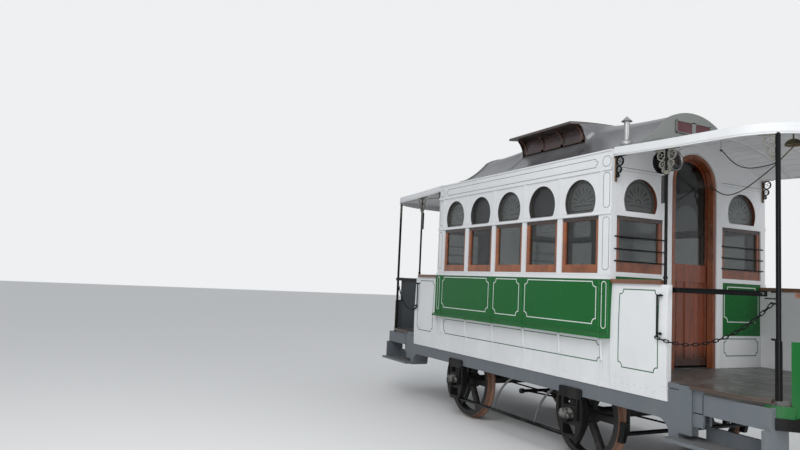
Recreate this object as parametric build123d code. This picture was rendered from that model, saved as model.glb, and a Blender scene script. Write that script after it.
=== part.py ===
from build123d import *
import math
import os

os.makedirs("parts", exist_ok=True)

# Running gear and track
gauge = 1435.0
tread_r = 405.0
flange_h = 25.0
wheel_base = 1960.0
axle_z = tread_r + flange_h
axle_x = wheel_base / 2

# Heights of the body lines above the flange bottoms
sill_z0 = 609.0
sill_z1 = 736.0
floor_z = 880.0
lip_z = 1142.0
waist_z1 = 1630.0
window_z0 = 1683.0
window_z1 = 2181.0
light_z0 = 2221.0
light_r = 195.0
light_zc = 2320.0
cornice_z = 2576.0
eave_z = 2738.0

# Plan of the body
body_w = 1990.0
wall_t = 60.0
half_y = body_w / 2
wall_in = half_y - wall_t
saloon_l = 2920.0
half_x = saloon_l / 2
bays = 5
pitch = 538.0
mullion = 63.0
panel_proud = 8.0
lip_proud = 50.0
sill_back = 30.0
sill_t = 100.0

# Plan of the platform end, shared by floor, dash, bumper and canopy
end_x0 = half_x + 1070
end_r = 480.0
end_turn = 60.0
end_y = half_y - 25

# Bulkheads
bulk_t = 50.0
bulk_in = half_x - bulk_t
arch_zc = 2532.0
frame_ro = 278.0
frame_ri = 205.0
arch_mould_w = 75.0
bw_y0 = frame_ro + arch_mould_w + 29
bw_y1 = wall_in - 6
bw_z0 = window_z0 + 15
bw_z1 = window_z1 - 4
bl_y = (bw_y0 + bw_y1) / 2
bl_zc = light_zc - 4
bp_z0 = lip_z + 29
bp_z1 = waist_z1 + 30
bp_y0 = bw_y0 + 10
rod_zs = (bw_z0 + 93, bw_z0 + 194, bw_z0 + 300)
rod_r = 6.0

# Roof
ceil_edge_z = 2655.0
ceil_rise = 270.0
ceil_half = end_y
roof_t = 68.0
roof_lap = 22.0
roof_z = ceil_edge_z + ceil_rise + roof_t
fascia_h = 75.0
fascia_t = 28.0
deck_w = 430.0
deck_sill_z = roof_z + 47
cap_half = deck_w + 220
cap_l = 1040.0
cap_edge_z = deck_sill_z + 181
cap_rise = 39.0
cap_t = 25.0
skirt_y = deck_w + 330
skirt_z = roof_z - 203
deck_x1 = half_x - 20

# Doors
door_t = 36.0
door_gap = 8.0

# Sections and gaps
seat_gap = 0.2
pin_gap = 0.5

made = {}


def block(xs, ys, zs):
    """A box between two values on each axis."""
    size = (abs(xs[1] - xs[0]), abs(ys[1] - ys[0]), abs(zs[1] - zs[0]))
    mid = ((xs[0] + xs[1]) / 2, (ys[0] + ys[1]) / 2, (zs[0] + zs[1]) / 2)
    return Pos(*mid) * Box(*size)


def side_plane(y):
    """Sketch plane of the near side wall: local x is +X, local y is +Z, normal is -Y."""
    return Plane(origin=(0, y, 0), x_dir=(1, 0, 0), z_dir=(0, -1, 0))


def end_plane(x):
    """Sketch plane of an end wall: local x is +Y, local y is +Z, normal is +X."""
    return Plane(origin=(x, 0, 0), x_dir=(0, 1, 0), z_dir=(1, 0, 0))


def slab_side(sketch, y_in, y_out):
    """Extrudes a side-plane sketch from y_in out to y_out, both given as negative y."""
    return extrude(side_plane(y_in) * sketch, amount=y_in - y_out)


def slab_end(sketch, x_in, x_out):
    """Extrudes an end-plane sketch from x_in to x_out."""
    return extrude(end_plane(x_in) * sketch, amount=x_out - x_in)


def rect(x0, x1, y0, y1):
    """A sketch rectangle between two pairs of values."""
    return Pos((x0 + x1) / 2, (y0 + y1) / 2) * Rectangle(abs(x1 - x0), abs(y1 - y0))


def outline(*points):
    """A sketch face from corner points."""
    return make_face(Polyline(*points, close=True))


def rod(p, q, r):
    """A round bar between two points."""
    axis = Vector(*q) - Vector(*p)
    return Plane(origin=p, z_dir=axis) * Pos(0, 0, axis.length / 2) * Cylinder(r, axis.length)


def horseshoe(xc, zc, r, z0):
    """A circle cut off at its base line."""
    return (Pos(xc, zc) * Circle(r)) & rect(xc - 2 * r, xc + 2 * r, z0, zc + 2 * r)


def arched(half, zc, z0):
    """A doorway shape with a round head about y = 0."""
    return rect(-half, half, z0, zc) + Pos(0, zc) * Circle(half)


def save(name, *shapes):
    """Writes one node."""
    solids = []
    for shape in shapes:
        solids += shape.solids()
    made[name] = solids
    whole = solids[0] if len(solids) == 1 else Compound(children=solids)
    export_step(whole, f"parts/{name}.step")


def flip_x(shape):
    return mirror(shape, about=Plane.YZ)


def flip_y(shape):
    return mirror(shape, about=Plane.XZ)


def half_turn(shape):
    return Rot(Z=180) * shape


def both_ends(shapes):
    """Solids of the front end with their mirror images at the rear."""
    return list(shapes) + [flip_x(s) for s in shapes]


def all_four(shape):
    """One solid at each corner of the car."""
    return [shape, flip_y(shape), flip_x(shape), flip_x(flip_y(shape))]


def plan_shape(inset, x_back=None):
    """Plan of one platform end from the bulkhead out, pulled in by inset."""
    x_b = half_x if x_back is None else x_back
    r = end_r - inset
    y = end_y - inset
    a = math.radians(end_turn)
    far = (end_x0 + r * math.sin(a), y - r * (1 - math.cos(a)))
    big = far[1] / math.cos(a)
    nose = far[0] + big * (1 - math.sin(a))
    mid = (end_x0 + r * math.sin(a / 2), y - r * (1 - math.cos(a / 2)))
    edges = [
        Line((x_b, -y), (end_x0, -y)),
        ThreePointArc((end_x0, -y), (mid[0], -mid[1]), (far[0], -far[1])),
        ThreePointArc((far[0], -far[1]), (nose, 0), (far[0], far[1])),
        ThreePointArc((far[0], far[1]), (mid[0], mid[1]), (end_x0, y)),
        Line((end_x0, y), (x_b, y)),
        Line((x_b, y), (x_b, -y)),
    ]
    return make_face(edges)


def plan_y(x, inset=0.0):
    """Half width of the platform end at x, from the side into the corner arc."""
    reach = max(x - end_x0, 0.0)
    return end_y - end_r + math.sqrt((end_r - inset) ** 2 - reach ** 2)


def plan_prism(inset, z0, z1):
    """Platform-end plan as a solid between two heights."""
    return extrude(Pos(0, 0, z0) * plan_shape(inset), amount=z1 - z0)


def plan_band(out, into, z0, z1):
    """A wall that follows the platform-end plan."""
    inner = extrude(Pos(0, 0, z0 - 1) * plan_shape(into, half_x - 60), amount=z1 - z0 + 2)
    return plan_prism(out, z0, z1) - inner


def barrel(z_shift, half, x0, x1):
    """Solid under an arched roof line: ceiling arc raised by z_shift, out to half."""
    r = (ceil_half ** 2 + ceil_rise ** 2) / (2 * ceil_rise) + z_shift
    zc = ceil_edge_z + ceil_rise - (r - z_shift)
    z_e = zc + math.sqrt(r ** 2 - half ** 2)
    face = make_face([
        ThreePointArc((-half, z_e), (0, zc + r), (half, z_e)),
        Line((half, z_e), (half, 800)),
        Line((half, 800), (-half, 800)),
        Line((-half, 800), (-half, z_e)),
    ])
    return slab_end(face, x0, x1)


def ceiling_z(y):
    """Height of the ceiling above the floor line at y."""
    r = (ceil_half ** 2 + ceil_rise ** 2) / (2 * ceil_rise)
    return ceil_edge_z + ceil_rise - r + math.sqrt(r ** 2 - y ** 2)


# Wheelsets: one axle with two cast spoked wheels
wheel_out = gauge / 2 + 72.5
rim_w = 85.0
flange_w = 22.0
rim_in = 345.0
hub_r = 82.0
hub_l = 150.0
axle_r = 52.0
journal_r = 38.0
guard_y = half_y - 65
journal_end = guard_y + 55
spokes = 6
spoke_w = 62.0
spoke_t = 46.0


def wheel():
    """One wheel on the near side, axle on the Y axis at the origin."""
    y_in = wheel_out - rim_w
    tyre = outline(
        (rim_in, y_in), (tread_r + flange_h, y_in), (tread_r + flange_h, y_in + flange_w * 0.6),
        (tread_r, y_in + flange_w + 10), (tread_r, wheel_out), (rim_in, wheel_out))
    ring = revolve(Plane.XY * tyre, Axis.Y)
    y_mid = wheel_out - rim_w / 2
    hub = Rot(X=90) * Cylinder(hub_r, hub_l)
    body = ring + Pos(0, y_mid, 0) * hub
    arm = Pos((rim_in + hub_r) / 2, y_mid, 0) * Box(rim_in - hub_r + 40, spoke_t, spoke_w)
    for i in range(spokes):
        body += Rot(Y=360 / spokes * i) * arm
    return body


def wheelset():
    axle = Rot(X=90) * Cylinder(axle_r, 2 * (wheel_out - rim_w / 2))
    journals = Rot(X=90) * Cylinder(journal_r, 2 * journal_end - 90)
    one = wheel()
    return one + flip_y(one) + axle + journals


ws = wheelset()
for name, sx in (("front", 1), ("rear", -1)):
    save(f"wheelset_{name}", Pos(sx * axle_x, 0, axle_z) * ws)

# Solebars, and the cross bearers between them
sole_out = half_y - sill_back
sole_in = sole_out - sill_t
sole_end = half_x + 470
floor_t = 40.0
floor_z0 = floor_z - floor_t
platform_t = 45.0
bearer_y = 470.0
bearer_w = 70.0
bearer_end = half_x + 1500
sole = block((-sole_end, sole_end), (-sole_out, -sole_in), (sill_z0, sill_z1))
save("solebars", sole, flip_y(sole))
bearers = []
for x in (0, 470, -470):
    bearers.append(block((x - 35, x + 35), (-sole_in, sole_in), (sill_z0 + 10, floor_z0)))
for sx in (1, -1):
    x = sx * (half_x - 45)
    bearers.append(block((x - 35, x + 35), (-sole_in, sole_in), (sill_z0 + 10, floor_z0)))
    x = sx * (sole_end - 40)
    tail = block((x - 40, x + 40), (-sole_in, sole_in), (sill_z0 + 10, sill_z1))
    bearers.append(tail)
    for sy in (1, -1):
        y = sy * bearer_y
        xs = sorted((sx * (half_x - 10), sx * bearer_end))
        arm = block(xs, (y - bearer_w / 2, y + bearer_w / 2), (sill_z1 - 30, floor_z - platform_t))
        bearers.append(arm - tail)
save("cross_bearers", *bearers)

# Saloon floor with the boxes over the wheels
box_half_x = tread_r + flange_h + 22
box_y0 = wheel_out - 130
box_y1 = wheel_out + 45
box_top = floor_z + 50
box_t = 18.0
floor = block((-bulk_in, bulk_in), (-wall_in, wall_in), (floor_z0, floor_z))
inner = block((-bulk_in + 60, bulk_in - 60), (-wall_in, wall_in), (floor_z0, box_top))
for sx in (1, -1):
    for sy in (1, -1):
        x = sx * axle_x
        ys = sorted((sy * (box_y0 + box_t), sy * (box_y1 - box_t)))
        bys = sorted((sy * box_y0, sy * box_y1))
        floor += block((x - box_half_x - box_t, x + box_half_x + box_t), bys, (floor_z0, box_top)) & inner
        floor -= block((x - box_half_x, x + box_half_x), ys, (floor_z0 - 1, box_top - box_t)) & (
            block((-bulk_in + 78, bulk_in - 78), (-wall_in, wall_in), (floor_z0 - 1, box_top)))
save("saloon_floor", floor)

# Side frames: posts, transom, letterboard, with openings for sashes and arched toplights
bay_xs = [(i - (bays - 1) / 2) * pitch for i in range(bays)]
post_xs = [(i - bays / 2) * pitch for i in range(bays + 1)]
sash_w = pitch - mullion
side_face = rect(-half_x, half_x, waist_z1, eave_z)
for x in bay_xs:
    side_face -= rect(x - sash_w / 2, x + sash_w / 2, window_z0, window_z1)
    side_face -= horseshoe(x, light_zc, light_r, light_z0)
side = slab_side(side_face, -wall_in, -half_y)
# columns: bottom, top, how far proud
for z0, z1, proud in (
    (waist_z1 + 2, window_z0 - 22, 14),
    (window_z1 + 2, light_z0 - 6, 10),
    (cornice_z - 16, cornice_z + 14, 12),
    (eave_z - 14, eave_z, 8),
):
    side += block((-half_x, half_x), (-half_y - proud, -half_y), (z0, z1))
for x in post_xs:
    side += block((x - 16, x + 16), (-half_y - 8, -half_y), (window_z1 + 8, cornice_z))
rebate = block((-half_x - 5, half_x + 5), (-half_y + roof_lap, -wall_in + 1), (ceil_edge_z - 155, eave_z + 5))
side -= rebate - barrel(0, half_y + 200, -half_x - 10, half_x + 10)
save("side_frame_right", side)
save("side_frame_left", flip_y(side))

# Waist panels: boards with half-round battens and a proud drip lip
w_out = half_y + panel_proud
lip_h = 34.0
batten_r = 12.0
waist_face = outline(
    (-wall_in, lip_z), (-wall_in, waist_z1), (-w_out, waist_z1), (-w_out, lip_z + lip_h + 6),
    (-half_y - lip_proud, lip_z + lip_h * 0.6), (-half_y - lip_proud, lip_z))
waist = slab_end(waist_face, -half_x, half_x)
batten_h = waist_z1 - lip_z - lip_h
for x in (12 - half_x, 118 - half_x, -pitch * 0.5, pitch * 0.5, half_x - 118, half_x - 12):
    waist += Pos(x, -w_out, lip_z + lip_h + batten_h / 2) * Cylinder(batten_r, batten_h)
waist -= block((-half_x - 30, half_x + 30), (-wall_in, wall_in), (lip_z - 10, waist_z1 + 10))
save("waist_panel_right", waist)
save("waist_panel_left", flip_y(waist))

# Rocker panels: hollow-curved boards with ribs, down to the sill
rib_w = 28.0
rock_mid_z = (sill_z1 + lip_z) / 2 + 11
# columns: inner face, outer face at top, middle and bottom, as distances in from the side
rock_faces = []
for y_in, y_top, y_mid, y_bot in (
    (wall_t, 25, 42, 22),
    (wall_t - 5, 15, 32, 14),
):
    ys = [-(half_y - v) for v in (y_in, y_top, y_mid, y_bot)]
    rock_faces.append(make_face([
        Line((ys[0], sill_z1), (ys[0], lip_z)),
        Line((ys[0], lip_z), (ys[1], lip_z)),
        ThreePointArc((ys[1], lip_z), (ys[2], rock_mid_z), (ys[3], sill_z1)),
        Line((ys[3], sill_z1), (ys[0], sill_z1)),
    ]))
rocker = slab_end(rock_faces[0], -half_x, half_x)
for x in post_xs:
    rocker += slab_end(rock_faces[1], x - rib_w / 2, x + rib_w / 2)
save("rocker_panel_right", rocker)
save("rocker_panel_left", flip_y(rocker))

# Sashes and panes of the sides
sash_t = 34.0
stile = 40.0
rail_b = 74.0
rail_t = 34.0
sash_y = half_y - 14
pane_t = 6.0
sashes = []
panes = []
lights = []
for x in bay_xs:
    whole = rect(x - sash_w / 2, x + sash_w / 2, window_z0, window_z1)
    hole = rect(x - sash_w / 2 + stile, x + sash_w / 2 - stile, window_z0 + rail_b, window_z1 - rail_t)
    one = slab_side(whole - hole, -sash_y + sash_t, -sash_y)
    glass = slab_side(hole, -sash_y + sash_t / 2 + pane_t, -sash_y + sash_t / 2)
    top = slab_side(horseshoe(x, light_zc, light_r, light_z0), -sash_y + 26, -sash_y + 26 - pane_t)
    sashes += [one, flip_y(one)]
    panes += [glass, flip_y(glass)]
    lights += [top, flip_y(top)]
save("window_sashes", *sashes)
save("window_panes", *panes)
save("toplight_panes", *lights)

# Bulkheads with doorway, sashes, toplights and panels
bulk_xs = (bulk_in - 5, half_x + 5)
bulk = slab_end(rect(-wall_in, wall_in, floor_z, eave_z + 400), bulk_in, half_x)
bulk = bulk & barrel(0, ceil_half, *bulk_xs)
bulk -= slab_end(arched(frame_ro, arch_zc, floor_z - 5), *bulk_xs)
for sy in (1, -1):
    bulk -= block(bulk_xs, sorted((sy * bw_y0, sy * bw_y1)), (bw_z0, bw_z1))
    bulk -= slab_end(horseshoe(sy * bl_y, bl_zc, light_r, light_z0), *bulk_xs)
    bulk -= block(bulk_xs, sorted((sy * bp_y0, sy * bw_y1)), (bp_z0, bp_z1))
    edge = sorted((sy * (frame_ro + arch_mould_w), sy * wall_in))
    bulk += block((half_x, half_x + 8), edge, (cornice_z - 12, cornice_z + 12))
arch_face = arched(frame_ro + arch_mould_w, arch_zc, floor_z) - arched(frame_ro + 12, arch_zc, floor_z - 1)
bulk += slab_end(arch_face, half_x, half_x + 14) & barrel(-4, ceil_half, half_x - 5, half_x + 20)
save("bulkhead_front", bulk)
save("bulkhead_rear", flip_x(bulk))

panels = []
joinery = []
bpanes = []
rods = []
sash_x = half_x - 12
sill_h = rail_b + 10
for sy in (1, -1):
    ps = sorted((sy * bp_y0, sy * bw_y1))
    panels.append(block((bulk_in, half_x - 6), ps, (bp_z0, bp_z1)))
    y0, y1 = sorted((sy * bw_y0, sy * bw_y1))
    hole = rect(y0 + stile, y1 - stile, bw_z0 + sill_h, bw_z1 - rail_t)
    light = horseshoe(sy * bl_y, bl_zc, light_r, light_z0)
    joinery.append(slab_end(rect(y0, y1, bw_z0, bw_z1) - hole, sash_x - sash_t, sash_x))
    bpanes.append(slab_end(hole, sash_x - sash_t / 2 - pane_t, sash_x - sash_t / 2))
    bpanes.append(slab_end(light, sash_x - 26, sash_x - 26 + pane_t))
    rod_x = half_x + rod_r
    for z in rod_zs:
        rods.append(rod((rod_x, sy * (bw_y0 - 24), z), (rod_x, sy * (bw_y1 + 26), z), rod_r))
door_frame = arched(frame_ro, arch_zc, floor_z) - arched(frame_ri, arch_zc, floor_z - 5)
joinery.append(slab_end(door_frame, bulk_in, half_x + 10))
for name, f in (("front", lambda s: s), ("rear", flip_x)):
    save(f"bulkhead_joinery_{name}", *[f(s) for s in joinery])
save("bulkhead_waist_panels", *both_ends(panels))
save("bulkhead_panes", *both_ends(bpanes))
save("guard_rods", *both_ends(rods))

# Sliding doors on the inner face of each bulkhead
door_x1 = bulk_in - door_gap
door_x0 = door_x1 - door_t
door_x = (door_x0 + door_x1) / 2
door_half = frame_ri + 91
door_bottom = floor_z + 20
door_stile = 92.0
door_zc = arch_zc - 16
pane_z0 = bw_z0 + 112
lock_rail_z = waist_z1 + 20
panel_z0 = floor_z + 80
muntin = 60.0
board_w = 36.0
track_h = 8.0
leaf = slab_end(arched(door_half, door_zc, door_bottom), door_x0, door_x1)
pane_face = arched(door_half - door_stile, door_zc, pane_z0)
leaf -= slab_end(pane_face, door_x0 - 5, door_x1 + 5)
low = rect(-door_half + door_stile, door_half - door_stile, panel_z0, lock_rail_z)
low -= rect(-muntin / 2, muntin / 2, panel_z0, lock_rail_z)
leaf -= slab_end(low, door_x1 - 12, door_x1 + 5)
leaf -= slab_end(low, door_x0 - 5, door_x0 + 12)
for sy in (1, -1):
    y = sy * (muntin / 2 + (door_half - door_stile - muntin / 2) / 2)
    leaf += block((door_x1 - 12, door_x1 - 7), (y - board_w / 2, y + board_w / 2), (panel_z0, lock_rail_z))
roller_r = (door_bottom - floor_z - track_h) / 2 + 6
for y in (-200, 200):
    roller = Rot(Y=90) * Cylinder(roller_r, 10)
    leaf += Pos(door_x, y, floor_z + track_h + pin_gap + roller_r) * roller
door_pane = slab_end(pane_face, door_x - pane_t / 2, door_x + pane_t / 2)
track = block((door_x - 6, door_x + 6), (-door_half, wall_in - 4), (floor_z, floor_z + track_h))
for name, f in (("front", lambda s: s), ("rear", half_turn)):
    save(f"door_{name}", f(leaf))
    save(f"door_glass_{name}", f(door_pane))
save("door_tracks", track, half_turn(track))

# Longitudinal benches
seat_z = floor_z + 430
seat_t = 30.0
seat_d = 430.0
seat_y = wall_in - seat_d
seat_l = door_x0 - 26
bench = [
    block((-seat_l, seat_l), (-wall_in, -seat_y), (seat_z - seat_t, seat_z)),
    block((-seat_l, seat_l), (-seat_y - 45, -seat_y - 20), (floor_z, seat_z - seat_t)),
    block((-seat_l, seat_l), (-wall_in, -wall_in + 18), (seat_z, waist_z1 + 30)),
]
save("benches", *bench, *[flip_y(s) for s in bench])

# Platform floors with nosings at the entrances
dash_in = 8.0
dash_t = 14.0
floor_in = dash_in + dash_t + seat_gap
floor_plan = plan_prism(floor_in, floor_z - platform_t, floor_z)
side_x1 = half_x + 580
entry_x0 = half_x + 782
entry_x1 = half_x + 1405
nosing = plan_band(-8, floor_in - 0.2, floor_z - 32, floor_z + 6)
nosing = nosing & block((entry_x0, entry_x1 - 64), (-half_y - 60, 0), (sill_z1, lip_z))
floor_plan -= nosing
floor_plan -= flip_y(nosing)
save("platform_floor_front", floor_plan)
save("platform_floor_rear", flip_x(floor_plan))
save("platform_nosings", *all_four(nosing))

# Dashes with cap rails above and bumpers below
dash_x = half_x + 1420
dash_top = lip_z + 403
dash_z0 = floor_z - 103
cap_h = 34.0
bump_h = 82.0
step_back = 40.0
wide = half_y + 200
keep = block((dash_x, dash_x + 600), (-wide, wide), (0, roof_z))
upper = block((dash_x - 5, dash_x + step_back), (-wide, wide), (dash_z0 + 484, dash_top + 5))
foot_keep = block((dash_x - 112, dash_x + 20), (-wide, wide), (0, roof_z))
dash = plan_band(dash_in, dash_in + dash_t, dash_z0, dash_top) & keep
dash -= upper
dash += plan_band(-8, dash_in + dash_t, dash_z0 - 6, floor_z - 33) & foot_keep
save("dash_front", dash)
save("dash_rear", flip_x(dash))
rail_keep = block((dash_x + step_back - 20, dash_x + 600), (-wide, wide), (0, roof_z))
rail = plan_band(0, 36, dash_top, dash_top + cap_h) & rail_keep
save("dash_rails", rail, flip_x(rail))
bump_keep = block((dash_x - 90, dash_x + 600), (-wide, wide), (0, roof_z))
bump = plan_band(dash_in - 26, 46, dash_z0 - bump_h, dash_z0 - 6) & bump_keep
bump += plan_band(dash_in + 14, 46, dash_z0 - 7, floor_z - platform_t) & bump_keep
bump -= plan_band(-20, dash_in + dash_t + seat_gap, dash_z0 - 6, floor_z)
save("bumpers", bump, flip_x(bump))

# Platform side panels with cap rails and grab handles
cap_z = waist_z1 - 28
panel_t = 40.0
panel_y = end_y - 2
panel_face = make_face([
    Line((-panel_y + panel_t, cap_z), (-panel_y, cap_z)),
    ThreePointArc((-panel_y, cap_z), (-panel_y - 14, lip_z + 8), (-sole_out - 8, sill_z1)),
    Line((-sole_out - 8, sill_z1), (-sole_out + panel_t - 8, sill_z1)),
    Line((-sole_out + panel_t - 8, sill_z1), (-panel_y + panel_t, cap_z)),
])
wing = slab_end(panel_face, half_x + seat_gap, side_x1)
wing -= plan_prism(floor_in, floor_z - platform_t - 1, floor_z + 1)
wings = [wing, flip_y(wing)]
save("platform_sides_front", *wings)
save("platform_sides_rear", *[flip_x(s) for s in wings])
post_r = 12.0
post_b_r = 16.0
post_a = (side_x1 - 42, -(end_y - 15))
post_b = (half_x + 1368, -(plan_y(half_x + 1368) - 11))
cap = block((half_x + seat_gap, post_a[0] - post_r - 8), (-panel_y - 20, -panel_y + panel_t + 16),
            (cap_z, cap_z + cap_h))
strip_x = post_a[0] - post_r - seat_gap
strip = block((strip_x - 30, strip_x), (post_a[1] - 10, post_a[1] + 10), (window_z1 + 49, window_z1 + 266))
save("hand_rails", *all_four(cap), *all_four(strip))


def canopy_solid(z_shift):
    """Solid under the platform roof: the arch flattens towards the nose of the car."""
    wires = []
    reach = half_y + 105
    r = (ceil_half ** 2 + ceil_rise ** 2) / (2 * ceil_rise) + z_shift
    top = ceil_edge_z + ceil_rise + z_shift
    side_z = top - r + math.sqrt(r ** 2 - reach ** 2)
    base = ceil_edge_z + z_shift
    # columns: x, share of the full rise, drop of the whole arch
    for x, rise, drop in (
        (half_x, 1.0, 0),
        (half_x + 590, 0.94, 10),
        (half_x + 1160, 0.66, 24),
        (half_x + 1740, 0.2, 30),
    ):
        mid_z = base + (top - base) * rise - drop
        low_z = base + (side_z - base) * rise - drop
        face = make_face([
            ThreePointArc((-reach, low_z), (0, mid_z), (reach, low_z)),
            Line((reach, low_z), (reach, floor_z)),
            Line((reach, floor_z), (-reach, floor_z)),
            Line((-reach, floor_z), (-reach, low_z)),
        ])
        wires.append((end_plane(x) * face).face().outer_wire())
    return Solid.make_loft(wires, False)


# Roof deck and the fascia boards of the canopies
roof_half = half_y - roof_lap
roof_arch = barrel(roof_t, roof_half, -half_x, half_x)
roof_arch -= barrel(0, roof_half + 50, -half_x - 5, half_x + 5)
canopy_top = canopy_solid(roof_t)
canopy_under = canopy_solid(0)
canopy = (canopy_top & plan_prism(fascia_t - 4, window_z0, roof_z + 200)) - canopy_under
roof = roof_arch + canopy + flip_x(canopy)
save("roof_deck", roof)
fascia_z = eave_z + 19
fascia_face = make_face([
    ThreePointArc((half_x - 60, fascia_z), (half_x + 590, fascia_z - 30), (half_x + 1740, fascia_z - 49)),
    Line((half_x + 1740, fascia_z - 49), (half_x + 1740, fascia_z - 49 - fascia_h)),
    ThreePointArc((half_x + 1740, fascia_z - 49 - fascia_h), (half_x + 590, fascia_z - 30 - fascia_h),
                  (half_x - 60, fascia_z - fascia_h)),
    Line((half_x - 60, fascia_z - fascia_h), (half_x - 60, fascia_z)),
])
fascia = plan_band(-4, -4 + fascia_t, light_z0, roof_z) & slab_side(fascia_face, wide, -wide)
fascia -= block((half_x - 70, half_x), (-wide, wide), (0, roof_z))
save("canopy_fascia", fascia, flip_x(fascia))

# Raised deck: side hoods over the middle lights, a narrow ridge to a hood at each end
def deck_shape(half, edge_z, top_z, waist_y, waist_z):
    """Bell-shaped cross-section of the raised deck."""
    return make_face([
        ThreePointArc((-half, edge_z), (0, top_z), (half, edge_z)),
        ThreePointArc((half, edge_z), (waist_y, waist_z), (skirt_y, skirt_z)),
        Line((skirt_y, skirt_z), (-skirt_y, skirt_z)),
        ThreePointArc((-skirt_y, skirt_z), (-waist_y, waist_z), (-half, edge_z)),
    ])


under = barrel(roof_t, half_y + 105, -half_x, half_x)
wires = []
# columns: x, half width, edge height above the roof crown, crown height, half waist, its height
for x, half, edge_h, top_h, waist_y, waist_h in (
    (cap_l / 2, cap_half - 10, 228, 267, deck_w + 20, 47),
    (cap_l / 2 + 120, deck_w + 130, 182, 247, deck_w + 50, 5),
    (cap_l / 2 + 280, deck_w + 20, 125, 219, deck_w + 75, -28),
    (cap_l / 2 + 480, deck_w - 50, 108, 204, deck_w + 75, -40),
    (deck_x1, deck_w - 90, 100, 197, deck_w + 65, -48),
):
    face = deck_shape(half, roof_z + edge_h, roof_z + top_h, waist_y, roof_z + waist_h)
    wires.append((end_plane(x) * face).face().outer_wire())
flare = Solid.make_loft(wires, True) - under
core = slab_end(make_face([
    Line((-deck_w, cap_edge_z), (deck_w, cap_edge_z)),
    Line((deck_w, cap_edge_z), (deck_w, deck_sill_z)),
    ThreePointArc((deck_w, deck_sill_z), (deck_w + 130, roof_z - 88), (skirt_y, skirt_z)),
    Line((skirt_y, skirt_z), (-skirt_y, skirt_z)),
    ThreePointArc((-skirt_y, skirt_z), (-deck_w - 130, roof_z - 88), (-deck_w, deck_sill_z)),
    Line((-deck_w, deck_sill_z), (-deck_w, cap_edge_z)),
]), -cap_l / 2, cap_l / 2)
core -= under
cap_face = make_face([
    ThreePointArc((-cap_half, cap_edge_z), (0, cap_edge_z + cap_rise), (cap_half, cap_edge_z)),
    Line((cap_half, cap_edge_z), (cap_half, cap_edge_z - cap_t)),
    ThreePointArc((cap_half, cap_edge_z - cap_t), (0, cap_edge_z + cap_rise - cap_t),
                  (-cap_half, cap_edge_z - cap_t)),
    Line((-cap_half, cap_edge_z - cap_t), (-cap_half, cap_edge_z)),
])
core += slab_end(cap_face, -cap_l / 2, cap_l / 2)
save("monitor_deck", core, flare, flip_x(flare))
vents = []
vent_n = 3
vent_l = (cap_l - 60) / vent_n
end_vent = (16.0, 206.0, 110.0)
for i in range(vent_n):
    x0 = -cap_l / 2 + 30 + vent_l * i
    v = block((x0 + 8, x0 + vent_l - 8), (-deck_w - 14, -deck_w), (deck_sill_z + 12, cap_edge_z - cap_t - 12))
    vents += [v, flip_y(v)]
for sy in (1, -1):
    ys = sorted((sy * end_vent[0], sy * (end_vent[0] + end_vent[1])))
    v = block((deck_x1, deck_x1 + 12), ys, (roof_z + 2, roof_z + 2 + end_vent[2]))
    vents += [v, flip_x(v)]
save("monitor_lights", *vents)

# Lamp flues with conical caps on the skirts of the raised deck
flue = (half_x - 248, -(half_y - 410))
flue_r = 26.0
flue_top = roof_z + 92
pipe = Pos(*flue, (skirt_z + flue_top) / 2) * Cylinder(flue_r, flue_top - skirt_z)
pipe += Pos(*flue, flue_top + 23) * Cone(50, 4, 46)
pipe = pipe - flare - under
save("lamp_flues", pipe, half_turn(pipe))


def bracket(height, width):
    """Open scrollwork bracket in the side plane: upright at x = 0, top rail at z = 0."""
    face = rect(0, 11, -height, 0) + rect(0, width, -11, 0)
    # columns: distance out, distance down, radius, as shares of the height
    for cx, cz, cr in ((0.25, 0.25, 0.21), (0.20, 0.60, 0.16), (0.13, 0.84, 0.10)):
        ring = RegularPolygon(cr * height, 10) - RegularPolygon(cr * height - 9, 10)
        face += Pos(cx * height, -cz * height) * ring
    return face


# Posts with scroll brackets, gate pivots, loop handles and chain hooks
bracket_t = 12.0
bracket_h = 200.0
bracket_w = 118.0
gate_y = (post_a[1] + post_b[1]) / 2
gate_z = cap_z - 37
gate_end = post_b[0] - 48
pin_r = 8.0
hook_r = 4.0
loop_x = post_b[0] - 83
loop_y = post_b[1] + 55
chain_a = (post_a[0] - 40, -(panel_y + 40), lip_z + 61)
chain_b = (post_b[0] - 36, post_b[1] - 13, lip_z + 358)
plate = extrude(Plane.XZ * bracket(bracket_h, bracket_w), amount=bracket_t / 2, both=True)
head_z = fascia_z - 30 - fascia_h + 4
tilt = math.degrees(math.atan2(plan_y(post_b[0] - 110) - plan_y(post_b[0]), 110))
posts = rod((*post_a, cap_z), (*post_a, window_z1 + 280), post_r)
posts += rod((*post_a, window_z1 + 270), (*post_a, window_z1 + 300), post_r + 7)
posts += rod((*post_a, window_z1 + 300), (*post_a, head_z + 60), post_r - 2)
posts += Pos(*post_a, head_z) * plate
posts += Pos(*post_a, head_z) * Rot(Z=180) * plate
posts += rod((post_a[0], post_a[1], gate_z + 80), (post_a[0], post_a[1], gate_z + 100), post_r + 5)
near_b = rod((*post_b, floor_z), (*post_b, lip_z + 120), post_b_r + 6)
near_b += rod((*post_b, lip_z + 120), (*post_b, head_z - 15), post_b_r)
near_b += Pos(*post_b, head_z - 16) * Rot(Z=180 + tilt) * plate
for z in (lip_z + 123, lip_z + 438):
    near_b += rod((*post_b, z), (loop_x, loop_y, z), 8)
near_b += rod((loop_x, loop_y, lip_z + 115), (loop_x, loop_y, lip_z + 446), 8)
near_b += rod((*post_b, gate_z - 31), (gate_end - 15, gate_y, gate_z - 31), 5)
near_b += rod((*post_b, chain_b[2] + 6), (chain_b[0], post_b[1], chain_b[2]), hook_r + 2)
near_b += rod((chain_b[0], post_b[1] + 4, chain_b[2]), (chain_b[0], chain_b[1] - 12, chain_b[2]), hook_r)
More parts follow.
